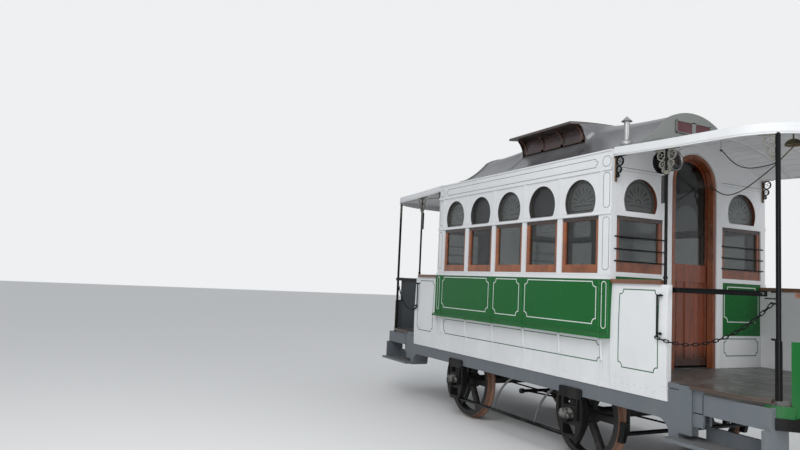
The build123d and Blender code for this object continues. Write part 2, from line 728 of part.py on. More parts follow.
corner = Pos(half_x + seat_gap, post_a[1], head_z + 22) * plate
grab = rod((chain_a[0], chain_a[1] + 12, chain_a[2]), (chain_a[0], chain_a[1] + 12, lip_z + 378), 7)
for z in (lip_z + 90, lip_z + 378):
    grab += rod((chain_a[0], chain_a[1] + 12, z), (chain_a[0], -panel_y + 10, z), 7)
grab += rod((chain_a[0], chain_a[1] - 12, chain_a[2]), (chain_a[0], chain_a[1] + 16, chain_a[2]), hook_r)
pin = rod((post_a[0], gate_y + 12, gate_z), (post_a[0], post_a[1], gate_z), pin_r)
irons = []
for piece in (posts, near_b, corner, grab, pin):
    for other in (fascia, canopy, wing, roof_arch):
        piece = piece - other
    irons += [piece, flip_y(piece)]
save("posts_front", *irons)
save("posts_rear", *[flip_x(s) for s in irons])

# Gates across the entrances
gate_r = 26.0
gate_t = 12.0
gate_ys = (gate_y - gate_t / 2, gate_y + gate_t / 2)
gate = block((post_a[0], gate_end), gate_ys, (gate_z + 7, gate_z + 19))
gate += block((post_a[0], gate_end), gate_ys, (gate_z - 19, gate_z - 7))
gate += block((gate_end - 14, gate_end), gate_ys, (gate_z - 19, gate_z + 19))
hinge_at = Pos(post_a[0], gate_y, gate_z) * Rot(X=90)
gate += hinge_at * Cylinder(gate_r, gate_t)
gate -= hinge_at * Cylinder(pin_r + pin_gap, 30)
for name, f in (("front", lambda s: s), ("rear", flip_x)):
    save(f"gate_{name}_right", f(gate))
    save(f"gate_{name}_left", f(flip_y(gate)))

# Entrance chains: links hung along a catenary between two hooks
slack = 650.0
link_n = 25
link_t = 5.5
link_w = 20.0
run = chain_b[0] - chain_a[0]
rise = chain_b[2] - chain_a[2]
low_x = (chain_a[0] + chain_b[0]) / 2 - slack * math.asinh(rise / (2 * slack * math.sinh(run / (2 * slack))))
s_a = slack * math.sinh((chain_a[0] - low_x) / slack)
s_b = slack * math.sinh((chain_b[0] - low_x) / slack)
low_z = chain_a[2] - slack * (math.cosh((chain_a[0] - low_x) / slack) - 1)
hook_in = hook_r + 0.3
link_p = (s_b - s_a + 0.8 + 2 * hook_in) / link_n
inner_l = (link_p - 0.8) / 2
outer_l = inner_l + link_t
inner_w = link_w / 2 - link_t
ring_out = Rectangle(2 * outer_l, link_w)
ring_in = Rectangle(2 * inner_l, 2 * inner_w)
link = extrude(ring_out - ring_in, amount=link_t / 2, both=True)
links = []
for i in range(link_n):
    s = s_a - hook_in + inner_l + link_p * i
    x = low_x + slack * math.asinh(s / slack)
    z = low_z + slack * (math.cosh((x - low_x) / slack) - 1)
    y = chain_a[1] + (chain_b[1] - chain_a[1]) * (x - chain_a[0]) / run
    along = Vector(run, chain_b[1] - chain_a[1], 0).normalized() + Vector(0, 0, math.sinh((x - low_x) / slack))
    flat = Vector(-along.Y, along.X, 0)
    at = Plane(origin=(x, y, z), x_dir=along, z_dir=flat)
    links.append(at * Rot(X=90 * (i % 2)) * link)
chain = links[0].fuse(*links[1:])
for x, y, z in (chain_a, chain_b):
    chain -= rod((x, y - 40, z), (x, y + 40, z), hook_r + 0.2)
save("entrance_chains", *all_four(chain))

# Steps below each entrance: shaped knee, riser boards and tread
knee_x1 = side_x1 + 97
knee_in = end_y - 220
tread_top = floor_z - 385
tread_t = 25.0
tread_y = end_y + 90
riser_y = end_y - 170
plank_t = 25.0
step_end = entry_x1 - 65
z_top = floor_z - platform_t
knee_z0 = tread_top - 34
knee_face = make_face([
    Line((sole_end + seat_gap, sill_z1), (side_x1 + 5, sill_z1)),
    Line((side_x1 + 5, sill_z1), (side_x1 + 5, z_top)),
    Line((side_x1 + 5, z_top), (knee_x1, z_top)),
    Line((knee_x1, z_top), (knee_x1, knee_z0)),
    Line((knee_x1, knee_z0), (knee_x1 - 47, knee_z0)),
    ThreePointArc((knee_x1 - 47, knee_z0), (knee_x1 - 79, knee_z0 + 17), (knee_x1 - 87, knee_z0 + 60)),
    ThreePointArc((knee_x1 - 87, knee_z0 + 60), (knee_x1 - 122, sill_z0 - 28), (sole_end + seat_gap, sill_z0)),
    Line((sole_end + seat_gap, sill_z0), (sole_end + seat_gap, sill_z1)),
])
step = slab_side(knee_face, -knee_in, -sole_out)
step += block((knee_x1 - 60, step_end + 4), (-tread_y, -riser_y + plank_t), (tread_top - tread_t, tread_top))
step += block((entry_x0, step_end), (-riser_y, -riser_y + plank_t), (tread_top, floor_z - 290))
step += block((knee_x1, entry_x0 + 30), (-riser_y, -riser_y + plank_t), (floor_z - 290, z_top))
step += block((entry_x0 + 88, entry_x1 - 30), (-end_y + 22, -end_y + 47), (floor_z - 187, z_top))
step += block((knee_x1, entry_x0 + 88), (-end_y + 60, -riser_y + plank_t), (z_top - 30, z_top))
end_face = make_face([
    Line((step_end, z_top), (step_end + 25, z_top)),
    Line((step_end + 25, z_top), (step_end + 25, tread_top - tread_t)),
    Line((step_end + 25, tread_top - tread_t), (step_end, tread_top - tread_t)),
    Line((step_end, tread_top - tread_t), (step_end, z_top)),
])
step += slab_side(end_face, -knee_in, -end_y + 50)
step += block((step_end, step_end + 25), (-end_y - 20, -end_y + 52), (tread_top - tread_t, floor_z - 187))
step -= block((half_x, half_x + 1600), (-bearer_y - bearer_w, bearer_y + bearer_w), (0, floor_z))
for other in (wing, dash, bump, nosing, floor_plan, sole):
    step = step - other
step -= plan_band(-8.4, dash_in + dash_t + 0.4, dash_z0 - 6, z_top + 1) & foot_keep
steps = list(step.solids())
save("steps_front", *steps, *[flip_y(s) for s in steps])
save("steps_rear", *[flip_x(s) for s in steps], *[flip_x(flip_y(s)) for s in steps])

# Axle guards: cast pedestals on the sills, with axle boxes, springs and covers, tied along each side
cast_y0 = sole_out - 50
cast_y1 = sole_out + 14
cast_z0 = sill_z0 - 385
tie_z = cast_z0 + 16
tie_y = (cast_y0 + cast_y1) / 2
box_h = 164.0
box_w = 160.0
spring_r = 44.0
cast_face = make_face([
    Line((-140, sill_z0), (140, sill_z0)),
    ThreePointArc((140, sill_z0), (172, axle_z + 30), (80, cast_z0)),
    Line((80, cast_z0), (-80, cast_z0)),
    ThreePointArc((-80, cast_z0), (-172, axle_z + 30), (-140, sill_z0)),
])
cast_face -= rect(-box_w / 2, box_w / 2, cast_z0 + 34, sill_z0 - 34)
for sx in (1, -1):
    cast_face -= rect(sx * 98, sx * 142, axle_z - 34, sill_z0 - 34)
cast = slab_side(cast_face, -cast_y0, -cast_y1)
cast += slab_side(Pos(0, sill_z0 + 14) * RectangleRounded(290, 96, 20), -sole_out, -cast_y1)
cast += block((-box_w / 2, box_w / 2), (-cast_y1, -guard_y + 45), (axle_z - box_h / 2, axle_z + box_h / 2))
cast += Pos(0, -cast_y0 - 10, (axle_z + sill_z0) / 2 + 20) * Cylinder(spring_r - 10, sill_z0 - axle_z - 74)
for i in range(3):
    cast += Pos(0, -cast_y0 - 10, axle_z + box_h / 2 + 14 + i * 30) * Cylinder(spring_r, 12)
cast += Pos(0, -cast_y1 - 35, axle_z) * Rot(X=90) * Cylinder(62, 70)
cast += Pos(0, -cast_y1 - 74, axle_z) * Rot(X=90) * Cylinder(44, 8)
for sx in (1, -1):
    cast += Pos(sx * 120, -tie_y, (axle_z + sill_z0) / 2 - 34) * Cylinder(19, sill_z0 - axle_z)
cast -= block((-400, 400), (-sole_out, -sole_in + 100), (sill_z0, sill_z1))
bore = Pos(0, -journal_end / 2 - 2, axle_z) * Rot(X=90) * Cylinder(journal_r + pin_gap, journal_end + 4)
cast -= bore
side_iron = Pos(axle_x, 0, 0) * cast + Pos(-axle_x, 0, 0) * cast
side_iron += rod((-axle_x + 70, -tie_y, tie_z), (axle_x - 70, -tie_y, tie_z), 11)
side_iron += rod((255, -tie_y, tie_z), (345, -tie_y, tie_z), 18)
# columns: foot x, middle x, middle height below the sill, head x
for foot_x, mid_x, mid_h, head_x in ((-230, -116, 159, 105), (455, 581, 117, 735)):
    line = ThreePointArc((foot_x, -tie_y, tie_z), (mid_x, -tie_y, sill_z0 - mid_h), (head_x, -tie_y, sill_z0 + 12))
    side_iron += sweep(Plane(origin=line @ 0, z_dir=line % 0) * Circle(7), path=line)
side_iron -= block((-half_x, half_x), (-sole_out - 1, -sole_in), (sill_z0, sill_z1))
save("axle_guards_right", side_iron)
save("axle_guards_left", flip_y(side_iron))

# Brake gear: beams and shoes at the outer wheel faces, worked from a trussed beam amidships
beam_y = wheel_out - 30
shoe_gap = 12.0
shoe_w = 44.0
beam_z = axle_z - 80
mid_z = axle_z + 35
post_z = beam_z - 22
shoe_y = wheel_out - shoe_w / 2 - 1
shoe_in = shoe_y - shoe_w / 2
hang_z = sill_z0 + 10
gear = [rod((0, -beam_y + 20, mid_z), (0, beam_y - 20, mid_z), 16)]
gear.append(block((-22, 22), (-22, 22), (post_z - 20, mid_z)))
for sy in (1, -1):
    gear.append(rod((0, sy * (beam_y - 20), mid_z), (0, sy * (beam_y + 16), mid_z), 26))
    gear.append(rod((0, sy * (beam_y - 60), mid_z), (0, 0, post_z), 9))
    gear.append(block((-8, 8), sorted((sy * 400 - 20, sy * 400 + 20)), (mid_z, hang_z)))
for sx in (1, -1):
    x = sx * (axle_x + tread_r + 45)
    gear.append(rod((x, -shoe_in, beam_z), (x, shoe_in, beam_z), 18))
    gear.append(rod((0, 0, post_z), (x, 0, beam_z), 9))
    gear.append(block(sorted((x - 12, x + 12)), (-beam_y + 20, beam_y - 20), (sill_z0 - 20, hang_z)))
    gear.append(block(sorted((sx * (half_x - 45), x - sx * 12)), (-60, 60), (sill_z0 - 20, hang_z)))
    for sy in (1, -1):
        shoe = Pos(sx * axle_x, sy * shoe_y, axle_z) * Rot(X=90) * (
            Cylinder(tread_r + shoe_gap + 50, shoe_w) - Cylinder(tread_r + shoe_gap, shoe_w + 20))
        reach = sorted((x - 80, x + 80))
        gear.append(shoe & block(reach, (-wheel_out - 100, wheel_out + 100), (axle_z - 160, axle_z + 10)))
        hang = sorted((sy * (beam_y - 40), sy * (beam_y - 20)))
        gear.append(block(sorted((x - 10, x + 10)), hang, (beam_z, sill_z0 - 20)))
brakes = []
for piece in gear:
    for other in brakes:
        piece = piece - other
    brakes += list(piece.solids())
save("brake_gear", *brakes)

# Lamps under the canopies, on the right at each end as the driver faces
lamp_at = (post_a[0] - 98, post_a[1] + 115, light_zc + 260)
lamp = None
# columns: start and end along the car from the lamp's middle, radius
for x0, x1, r in ((-65, -48, 90), (-48, -22, 76), (-22, 45, 60), (45, 72, 82)):
    one = Pos(lamp_at[0] + (x0 + x1) / 2, lamp_at[1], lamp_at[2]) * Rot(Y=90) * Cylinder(r, x1 - x0)
    lamp = one if lamp is None else lamp + one
stem = rod((lamp_at[0], lamp_at[1], lamp_at[2]), (lamp_at[0], lamp_at[1], roof_z), 9) & canopy_under
lamp += stem
lens = Pos(lamp_at[0] + 72, lamp_at[1], lamp_at[2]) * Rot(Y=90) * (
    Pos(0, 0, 9) * Cylinder(72, 18))
save("lamps", lamp, half_turn(lamp))
save("lamp_glasses", lens, half_turn(lens))

# Gongs with striker arms, and the guide eyes of the cords
gong_at = (half_x + 925, gate_z + 1180)
ring_at = (half_x + 790, 0, gate_z + 1057)
ring_r = 14.0
bell = revolve(Plane.XZ * make_face([
    ThreePointArc((0, 52), (44, 38), (64, 0)),
    Line((64, 0), (58, 0)),
    ThreePointArc((58, 0), (40, 33), (0, 46)),
    Line((0, 46), (0, 52)),
]), Axis.Z)
gong = Pos(gong_at[0], 0, gong_at[1]) * bell
gong += rod((gong_at[0], 0, gong_at[1] - 12), (gong_at[0], 0, roof_z), 6) & canopy_under
ring = Pos(*ring_at) * Rot(X=90) * Cylinder(ring_r, 26)
gong += rod((gong_at[0], 0, gong_at[1] - 8), ring_at, 5)
gong += ring
gong -= Pos(*ring_at) * Rot(X=90) * Cylinder(ring_r - 8, 30)
eye_at = (half_x + 10, frame_ri - 5, arch_zc + 1)
hook_at = (half_x + 200, 100, ceil_edge_z + 180)
eye = rod(eye_at, (eye_at[0] + 16, eye_at[1], eye_at[2]), 9)
hanger = rod((hook_at[0], hook_at[1], hook_at[2] - 8), (hook_at[0], hook_at[1], roof_z), 4) & canopy_under
hanger += rod((hook_at[0], hook_at[1], hook_at[2] - 9), (hook_at[0], hook_at[1], hook_at[2] + 9), 9)
save("gongs", gong, half_turn(gong), eye, hanger)

# Bell cords from the guide eyes to the striker ring
cord_r = 4.5


def cord_tube(points):
    """A round cord: straight runs joined by tangent arcs."""
    radii = []
    for a, b, c in zip(points, points[1:], points[2:]):
        u = Vector(*b) - Vector(*a)
        v = Vector(*c) - Vector(*b)
        half = math.radians(u.get_angle(v)) / 2
        radii.append(0.45 * min(u.length, v.length) / math.tan(half))
    print("cord radii", [round(r) for r in radii])
    path = FilletPolyline(*points, radius=radii)
    tube = sweep(Plane(origin=path @ 0, z_dir=path % 0) * Circle(cord_r), path=path)
    print("cord length", round(path.length))
    return tube


stop = Pos(*ring_at) * Rot(X=90) * Cylinder(ring_r, 40)
door_cord = cord_tube([
    (eye_at[0] + 16, eye_at[1], eye_at[2]),
    (half_x + 130, eye_at[1] - 16, eye_at[2] - 78),
    (half_x + 262, eye_at[1] - 40, eye_at[2] - 108),
    (half_x + 500, eye_at[1] - 115, eye_at[2] - 55),
    (ring_at[0], 7, ring_at[2])])
save("bell_cord_door", door_cord - stop - eye)
roof_cord = cord_tube([
    (hook_at[0] + 9, hook_at[1], hook_at[2]),
    (hook_at[0] + 110, hook_at[1] - 12, hook_at[2] - 120),
    (hook_at[0] + 250, hook_at[1] - 35, hook_at[2] - 202),
    (hook_at[0] + 420, hook_at[1] - 65, hook_at[2] - 222),
    (ring_at[0], -7, ring_at[2])])
save("bell_cord_roof", roof_cord - stop - hanger)

print(len(made), "nodes")
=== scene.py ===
import math
from functools import partial

import bmesh
import bpy
from mathutils import Matrix, Vector
from mathutils.bvhtree import BVHTree


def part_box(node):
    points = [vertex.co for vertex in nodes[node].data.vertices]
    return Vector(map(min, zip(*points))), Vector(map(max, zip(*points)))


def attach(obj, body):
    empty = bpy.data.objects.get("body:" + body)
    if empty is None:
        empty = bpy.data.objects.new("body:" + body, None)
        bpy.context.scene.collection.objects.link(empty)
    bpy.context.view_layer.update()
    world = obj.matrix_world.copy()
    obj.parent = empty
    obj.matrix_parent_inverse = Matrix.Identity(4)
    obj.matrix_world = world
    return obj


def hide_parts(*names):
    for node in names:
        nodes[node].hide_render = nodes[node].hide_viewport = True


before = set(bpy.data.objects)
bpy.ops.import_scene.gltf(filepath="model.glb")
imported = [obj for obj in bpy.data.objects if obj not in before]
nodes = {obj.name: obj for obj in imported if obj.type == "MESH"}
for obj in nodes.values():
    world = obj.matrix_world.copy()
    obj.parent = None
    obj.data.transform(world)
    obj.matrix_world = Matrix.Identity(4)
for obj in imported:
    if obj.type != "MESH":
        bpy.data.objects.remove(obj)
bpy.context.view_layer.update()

# Studio: a pale floor and an even white sky, with two large soft lamps, seen by a camera
# at head height off the corner of the car, the way a visitor stands beside it.
camera_at = Vector((5.5724, -4.9760, 1.5327))
look = Vector((-0.8950, 0.4378, 0.0862))
side = Vector((0.4426, 0.8955, 0.0467))
lens_mm = 29.317

camera = bpy.data.objects.new("camera", bpy.data.cameras.new("camera"))
bpy.context.scene.collection.objects.link(camera)
camera.data.lens = lens_mm
camera.data.sensor_width = 36.0
camera.data.clip_end = 200.0
back = -look.normalized()
right = (side - side.dot(back) * back).normalized()
up = back.cross(right)
turn = Matrix((right, up, back)).transposed().to_4x4()
camera.matrix_world = Matrix.Translation(camera_at) @ turn
bpy.context.scene.camera = camera


def add(tree, kind, inputs=None, **settings):
    """Adds a shader node. inputs maps a socket name or number to a value or to the socket it is wired from."""
    node = tree.nodes.new("ShaderNode" + kind)
    for key, value in settings.items():
        setattr(node, key, value)
    for key, value in (inputs or {}).items():
        if isinstance(value, bpy.types.NodeSocket):
            tree.links.new(value, node.inputs[key])
        else:
            node.inputs[key].default_value = value
    return node


def material(name, **values):
    """A material with a Principled BSDF whose constants are given by socket name."""
    made = bpy.data.materials.new(name)
    made.use_nodes = True
    shader = made.node_tree.nodes["Principled BSDF"]
    for key, value in values.items():
        shader.inputs[key.replace("_", " ")].default_value = value
    return made, made.node_tree, shader


floor_paint, tree, shader = material("studio_floor", Roughness=0.75)
mottle = add(tree, "TexNoise", {"Scale": 0.8, "Detail": 3.0})
tone = add(tree, "ValToRGB", {0: mottle.outputs[0]})
tone.color_ramp.elements[0].color = (0.74, 0.74, 0.735, 1)
tone.color_ramp.elements[1].color = (0.80, 0.80, 0.795, 1)
tree.links.new(tone.outputs[0], shader.inputs["Base Color"])
floor_mesh = bpy.data.meshes.new("studio_floor")
reach = 60.0
corners = [(-reach, -reach, 0), (reach, -reach, 0), (reach, reach, 0), (-reach, reach, 0)]
floor_mesh.from_pydata(corners, [], [(0, 1, 2, 3)])
floor = bpy.data.objects.new("studio_floor", floor_mesh)
floor_mesh.materials.append(floor_paint)
bpy.context.scene.collection.objects.link(floor)

world = bpy.data.worlds.new("studio")
bpy.context.scene.world = world
world.use_nodes = True
sky = world.node_tree
sky.nodes.clear()
rays = add(sky, "LightPath").outputs
seen = add(sky, "Math", {0: rays["Is Camera Ray"], 1: rays["Is Transmission Ray"]}, operation="MAXIMUM")
lit = add(sky, "Background", {"Color": (0.93, 0.96, 1.0, 1), "Strength": 0.62})
shown = add(sky, "Background", {"Color": (0.86, 0.87, 0.88, 1), "Strength": 1.0})
mixed = add(sky, "MixShader", {0: seen.outputs[0], 1: lit.outputs[0], 2: shown.outputs[0]})
out = add(sky, "OutputWorld", {"Surface": mixed.outputs[0]})

# columns: name, place, what it faces, size, power
for name, place, target, size, power in (
    ("key_lamp", (5.0, -6.5, 7.0), (0.5, 0, 1.2), 5.0, 420.0),
    ("fill_lamp", (7.5, 3.0, 5.0), (1.0, 0, 1.4), 4.0, 150.0),
    ("low_lamp", (6.9, -4.9, 1.7), (1.8, -0.2, 2.4), 3.0, 100.0),
):
    lamp = bpy.data.objects.new(name, bpy.data.lights.new(name, "AREA"))
    lamp.data.shape = "DISK"
    lamp.data.size = size
    lamp.data.energy = power
    lamp.location = place
    lamp.rotation_euler = (Vector(target) - Vector(place)).to_track_quat("-Z", "Y").to_euler()
    bpy.context.scene.collection.objects.link(lamp)

bpy.context.scene.view_settings.view_transform = "Standard"

# Bell cords: two limp leather cords under the front canopy, from the doorway eye and the
# ceiling hook to the striker ring of the gong.
cord_d = 0.009


def home(*values):
    """The node tree that a socket among the values belongs to."""
    return next(value.id_data for value in values if isinstance(value, bpy.types.NodeSocket))


def mix(share, a, b):
    """Socket of a colour between a and b."""
    return add(home(share, a, b), "Mix", {0: share, 6: a, 7: b}, data_type="RGBA").outputs[2]


def remap(value, low, high, to_low=0.0, to_high=1.0):
    """Socket of value stretched from low..high, with its ends clamped."""
    return add(home(value), "MapRange", {0: value, 1: low, 2: high, 3: to_low, 4: to_high}).outputs[0]


def noise(place, scale, detail, **more):
    """Socket of a noise texture. more gives its other inputs by name."""
    return add(home(place), "TexNoise", {"Vector": place, "Scale": scale, "Detail": detail, **more}).outputs[0]


def where(tree):
    """Sockets of the place on the object, and of its x, y and z."""
    place = add(tree, "TexCoord").outputs["Object"]
    return (place, *add(tree, "SeparateXYZ", {0: place}).outputs[:3])


def surface(shader, color, roughness, height, depth, rounding=0.0):
    """Wires what changes over a surface into its shader: colour, roughness, bump and softened edges."""
    tree = shader.id_data
    bump = add(tree, "Bump", {"Height": height, "Distance": depth})
    if rounding:
        soft = add(tree, "Bevel", {"Radius": rounding}, samples=4)
        tree.links.new(soft.outputs[0], bump.inputs["Normal"])
    for key, socket in (("Base Color", color), ("Roughness", roughness), ("Normal", bump.outputs[0])):
        tree.links.new(socket, shader.inputs[key])


def mottled(name, scale, detail, tones, gloss, depth, spread=None, **values):
    """A material whose tone and roughness follow one noise. spread narrows the noise for the tone."""
    made, tree, shader = material(name, **values)
    stain = noise(where(tree)[0], scale, detail)
    share = remap(stain, *spread) if spread else stain
    surface(shader, mix(share, *tones), remap(stain, *gloss), stain, depth)
    return made


leather = mottled(
    "cord_leather", 260.0, 2.0, ((0.020, 0.015, 0.012, 1), (0.062, 0.047, 0.038, 1)), (0.2, 0.8, 0.5, 0.8), 0.001)
routes = {
    "bell_cord_door": [
        (1.486, 0.200, 2.533), (1.590, 0.184, 2.455), (1.722, 0.160, 2.425),
        (1.960, 0.085, 2.478), (2.250, 0.007, 2.622)],
    "bell_cord_roof": [
        (1.669, 0.100, 2.835), (1.770, 0.088, 2.715), (1.910, 0.065, 2.633),
        (2.080, 0.035, 2.613), (2.250, -0.007, 2.622)],
}
for name, points in routes.items():
    curve = bpy.data.curves.new(name + "_line", "CURVE")
    curve.dimensions = "3D"
    curve.bevel_depth = cord_d / 2
    curve.bevel_resolution = 3
    curve.resolution_u = 12
    line = curve.splines.new("NURBS")
    line.points.add(len(points) - 1)
    for point, place in zip(line.points, points):
        point.co = (*place, 1)
    line.order_u = 3
    line.use_endpoint_u = True
    curve.materials.append(leather)
    cord = bpy.data.objects.new(name + "_line", curve)
    bpy.context.scene.collection.objects.link(cord)
    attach(cord, "body")
    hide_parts(name)

# Saloon sides: white painted posts and boards with small runs of dirt. Every painted
# piece of the car shares one way of wearing: chipped edges, dust on top, grime low down.
def group(name, inputs, outputs):
    """A shader node group, what it is given and what it puts out. Sockets are C, F or V, for their kind."""
    kinds = {"C": "NodeSocketColor", "F": "NodeSocketFloat", "V": "NodeSocketVector"}
    made = bpy.data.node_groups.new(name, "ShaderNodeTree")
    for way, sockets in (("INPUT", inputs), ("OUTPUT", outputs)):
        for key, kind in sockets.items():
            made.interface.new_socket(key, in_out=way, socket_type=kinds[kind])
    return made, made.nodes.new("NodeGroupInput").outputs, made.nodes.new("NodeGroupOutput").inputs


def send(tree, put, **sockets):
    """Wires what a group puts out."""
    for key, socket in sockets.items():
        tree.links.new(socket, put[key])


def use(tree, made, **values):
    """Sockets that a group gives out where it is used."""
    return add(tree, "Group", values, node_tree=made).outputs


def calc(operation, a, b=0.0):
    """Socket of an operation on two values."""
    return add(home(a, b), "Math", {0: a, 1: b}, operation=operation).outputs[0]


# sockets of a sum, of a difference, of the larger of two values and of a value without its sign
plus, minus, most, absolute = (partial(calc, kind) for kind in ("ADD", "SUBTRACT", "MAXIMUM", "ABSOLUTE"))


def times(product, *values):
    """Socket of the product of some values."""
    for value in values:
        product = calc("MULTIPLY", product, value)
    return product


def distance(a, b):
    """Socket of the diagonal over a and b."""
    return calc("SQRT", plus(calc("POWER", a, 2.0), calc("POWER", b, 2.0)))


def facing(socket, kind="True Normal"):
    """Sockets of x, y and z of the way that the surface faces, in the tree of a socket."""
    tree = home(socket)
    return add(tree, "SeparateXYZ", {0: add(tree, "NewGeometry").outputs[kind]}).outputs


def edges(tree, radius, flat, sharp):
    """Mask of the edges, from how far a bevel turns the normal."""
    soft = add(tree, "Bevel", {"Radius": radius}, samples=4).outputs[0]
    straight = add(tree, "NewGeometry").outputs["Normal"]
    bend = add(tree, "VectorMath", {0: soft, 1: straight}, operation="DOT_PRODUCT")
    return remap(bend.outputs["Value"], flat, sharp)


worn, given, put = group(
    "worn_paint",
    {"Paint": "C", "Bare": "C", "Dirt": "C", "Chips": "F", "Dust": "F", "Grime": "F", "Gloss": "F", "Scale": "F"},
    {"Color": "C", "Roughness": "F", "Height": "F"})
place, x, y, z = where(worn)
broad = noise(place, given["Scale"], 5.0, Roughness=0.6)
fine = noise(place, 55.0, 4.0, Roughness=0.65)
chip = times(edges(worn, 0.006, 0.995, 0.90), remap(fine, 0.50, 0.62), given["Chips"])
spot = times(remap(fine, 0.69, 0.73), remap(broad, 0.5, 0.7), given["Chips"])
bare = most(chip, spot)
top = remap(facing(place, "Normal")["Z"], 0.5, 0.95)
dust = times(top, remap(broad, 0.25, 0.75, 0.3, 1.0), given["Dust"])
streak_place = add(worn, "Mapping", {"Vector": place, "Scale": (14.0, 14.0, 1.2)}).outputs[0]
streak = noise(streak_place, 1.0, 4.0)
grime = times(remap(z, 1.25, 0.60), remap(streak, 0.35, 0.8), given["Grime"])
value = remap(broad, 0.3, 0.7, 0.94, 1.04)
color = add(worn, "HueSaturation", {"Value": value, "Color": given["Paint"]}).outputs[0]
color = mix(bare, color, given["Bare"])
color = mix(dust, color, given["Dirt"])
color = mix(grime, color, given["Dirt"])
rough = plus(given["Gloss"], times(most(dust, bare), 0.4))
rough = plus(rough, remap(broad, 0.3, 0.7, -0.04, 0.06))
relief = minus(remap(fine, 0.3, 0.7, 0.0, 0.25), bare)
send(worn, put, Color=color, Roughness=rough, Height=relief)


def painted(name, paint, bare, dirt, chips, dust, grime, gloss, depth=0.0006, rounding=0.003, **values):
    """A worn paint in one colour. values are constants of its shader."""
    made, tree, shader = material(name, **values)
    coat = use(
        tree, worn, Paint=paint, Bare=bare, Dirt=dirt, Chips=chips, Dust=dust, Grime=grime, Gloss=gloss, Scale=2.5)
    surface(shader, *coat[:3], depth, rounding)
    return made


def tinted(made, mask, tone):
    """Recolours a material where the mask made by mask(x, y, z) is 1."""
    tree = made.node_tree
    base = tree.nodes["Principled BSDF"].inputs["Base Color"]
    was = base.links[0].from_socket
    tree.links.new(mix(mask(*where(tree)[1:]), was, tone), base)


def dress(finish, *names):
    """Gives CAD nodes a finish, with their curved faces shaded smooth."""
    for name in names:
        mesh = nodes[name].data
        mesh.materials.clear()
        mesh.materials.append(finish)
        mesh.polygons.foreach_set("use_smooth", [True] * len(mesh.polygons))


def placed(name, mesh, finish, body, slot, smooth=True):
    """An object of the scene's own, riding on a body."""
    mesh.polygons.foreach_set("use_smooth", [smooth] * len(mesh.polygons))
    mesh.materials.clear()
    mesh.materials.append(finish)
    made = bpy.data.objects.new(name, mesh)
    bpy.context.scene.collection.objects.link(made)
    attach(made, body)
    return made


def piece(name, verts, faces, finish, slot, body="body", smooth=False):
    """A mesh of the scene's own, from its corners and faces."""
    mesh = bpy.data.meshes.new(name)
    mesh.from_pydata([tuple(v) for v in verts], [], faces)
    shape = bmesh.new()
    shape.from_mesh(mesh)
    bmesh.ops.recalc_face_normals(shape, faces=shape.faces)
    shape.to_mesh(mesh)
    shape.free()
    return placed(name, mesh, finish, body, slot, smooth)


pitch = 0.538
toplight_z = 2.320


def in_bay(x):
    """Sockets of the bay that x is in, counted from the middle one, and of the way from that bay's middle."""
    bay = calc("ROUND", calc("DIVIDE", x, pitch))
    return bay, minus(x, times(bay, pitch))


def opening(x, y, z):
    """Mask of the reveals of the arched openings along a side, where painted shade darkens them."""
    radius = distance(in_bay(x)[1], minus(z, toplight_z))
    inside = times(remap(radius, 0.1972, 0.1960), remap(z, 2.205, 2.215))
    return times(inside, remap(absolute(x), 1.290, 1.280))


white_look = dict(
    paint=(0.62, 0.63, 0.64, 1), bare=(0.42, 0.40, 0.37, 1), dirt=(0.30, 0.27, 0.23, 1),
    chips=0.5, dust=0.35, grime=0.13, gloss=0.34)
white = painted("white_paint", **white_look)
side_paint = painted("side_paint", **white_look)
# Painted shade: the reveals of the arched openings on the sides are darkened nearly black.
tinted(side_paint, opening, (0.042, 0.040, 0.038, 1))
dress(side_paint, "side_frame_right", "side_frame_left")

ends = (("front", 1), ("rear", -1))
hands = (("right", -1), ("left", 1))
quarters = [(sx, sy) for sx in (-1, 1) for sy in (-1, 1)]


def wall(*names):
    """Ray-test tree of some CAD nodes, for laying lines and screws on them."""
    verts, faces = [], []
    for name in names:
        base = len(verts)
        mesh = nodes[name].data
        verts += [v.co.copy() for v in mesh.vertices]
        faces += [[base + i for i in p.vertices] for p in mesh.polygons]
    return BVHTree.FromPolygons(verts, faces)


def struck(tree, start, ray):
    """Where a ray meets a wall, and the way back along it."""
    hit = tree.ray_cast(start, ray)[0]
    if hit is None:
        raise ValueError(f"no wall from {tuple(start)}")
    return hit, -ray


def on_side(tree, sy, sx=1):
    """Places (x, z) on a side wall: sy -1 is the right side, and sx -1 mirrors it end for end."""
    return lambda x, z: struck(tree, Vector((sx * x, sy * 1.6, z)), Vector((0, -sy, 0)))


def on_end(tree, sx, sy=1):
    """Places (y, z) on an end wall, seen from outside it."""
    return lambda y, z: struck(tree, Vector((sx * 3.6, sy * y, z)), Vector((-sx, 0, 0)))


def notched(x0, x1, z0, z1, notch=0.045, step=0.005, turns=5):
    """A rectangle with a concave arc between two small steps at each corner."""
    path = []
    # columns: corner, way in along the outline, way out
    for cx, cz, ix, iz, ox, oz in (
        (x1, z1, 1, 0, 0, -1), (x1, z0, 0, -1, -1, 0), (x0, z0, -1, 0, 0, 1), (x0, z1, 0, 1, 1, 0),
    ):
        path.append((cx - ix * notch, cz - iz * notch))
        mx, mz = cx - ix * step + ox * step, cz - iz * step + oz * step
        r = notch - step
        for k in range(turns + 1):
            a = math.pi / 2 * k / turns
            way_in, way_out = r * math.cos(a), r * math.sin(a)
            path.append((mx - ix * way_in + ox * way_out, mz - iz * way_in + oz * way_out))
        path.append((cx + ox * notch, cz + oz * notch))
    return path


def chamfered(x0, x1, z0, z1, cut):
    """A rectangle with its corners cut off straight."""
    return [
        (x0 + cut, z1), (x1 - cut, z1), (x1, z1 - cut), (x1, z0 + cut),
        (x1 - cut, z0), (x0 + cut, z0), (x0, z0 + cut), (x0, z1 - cut)]


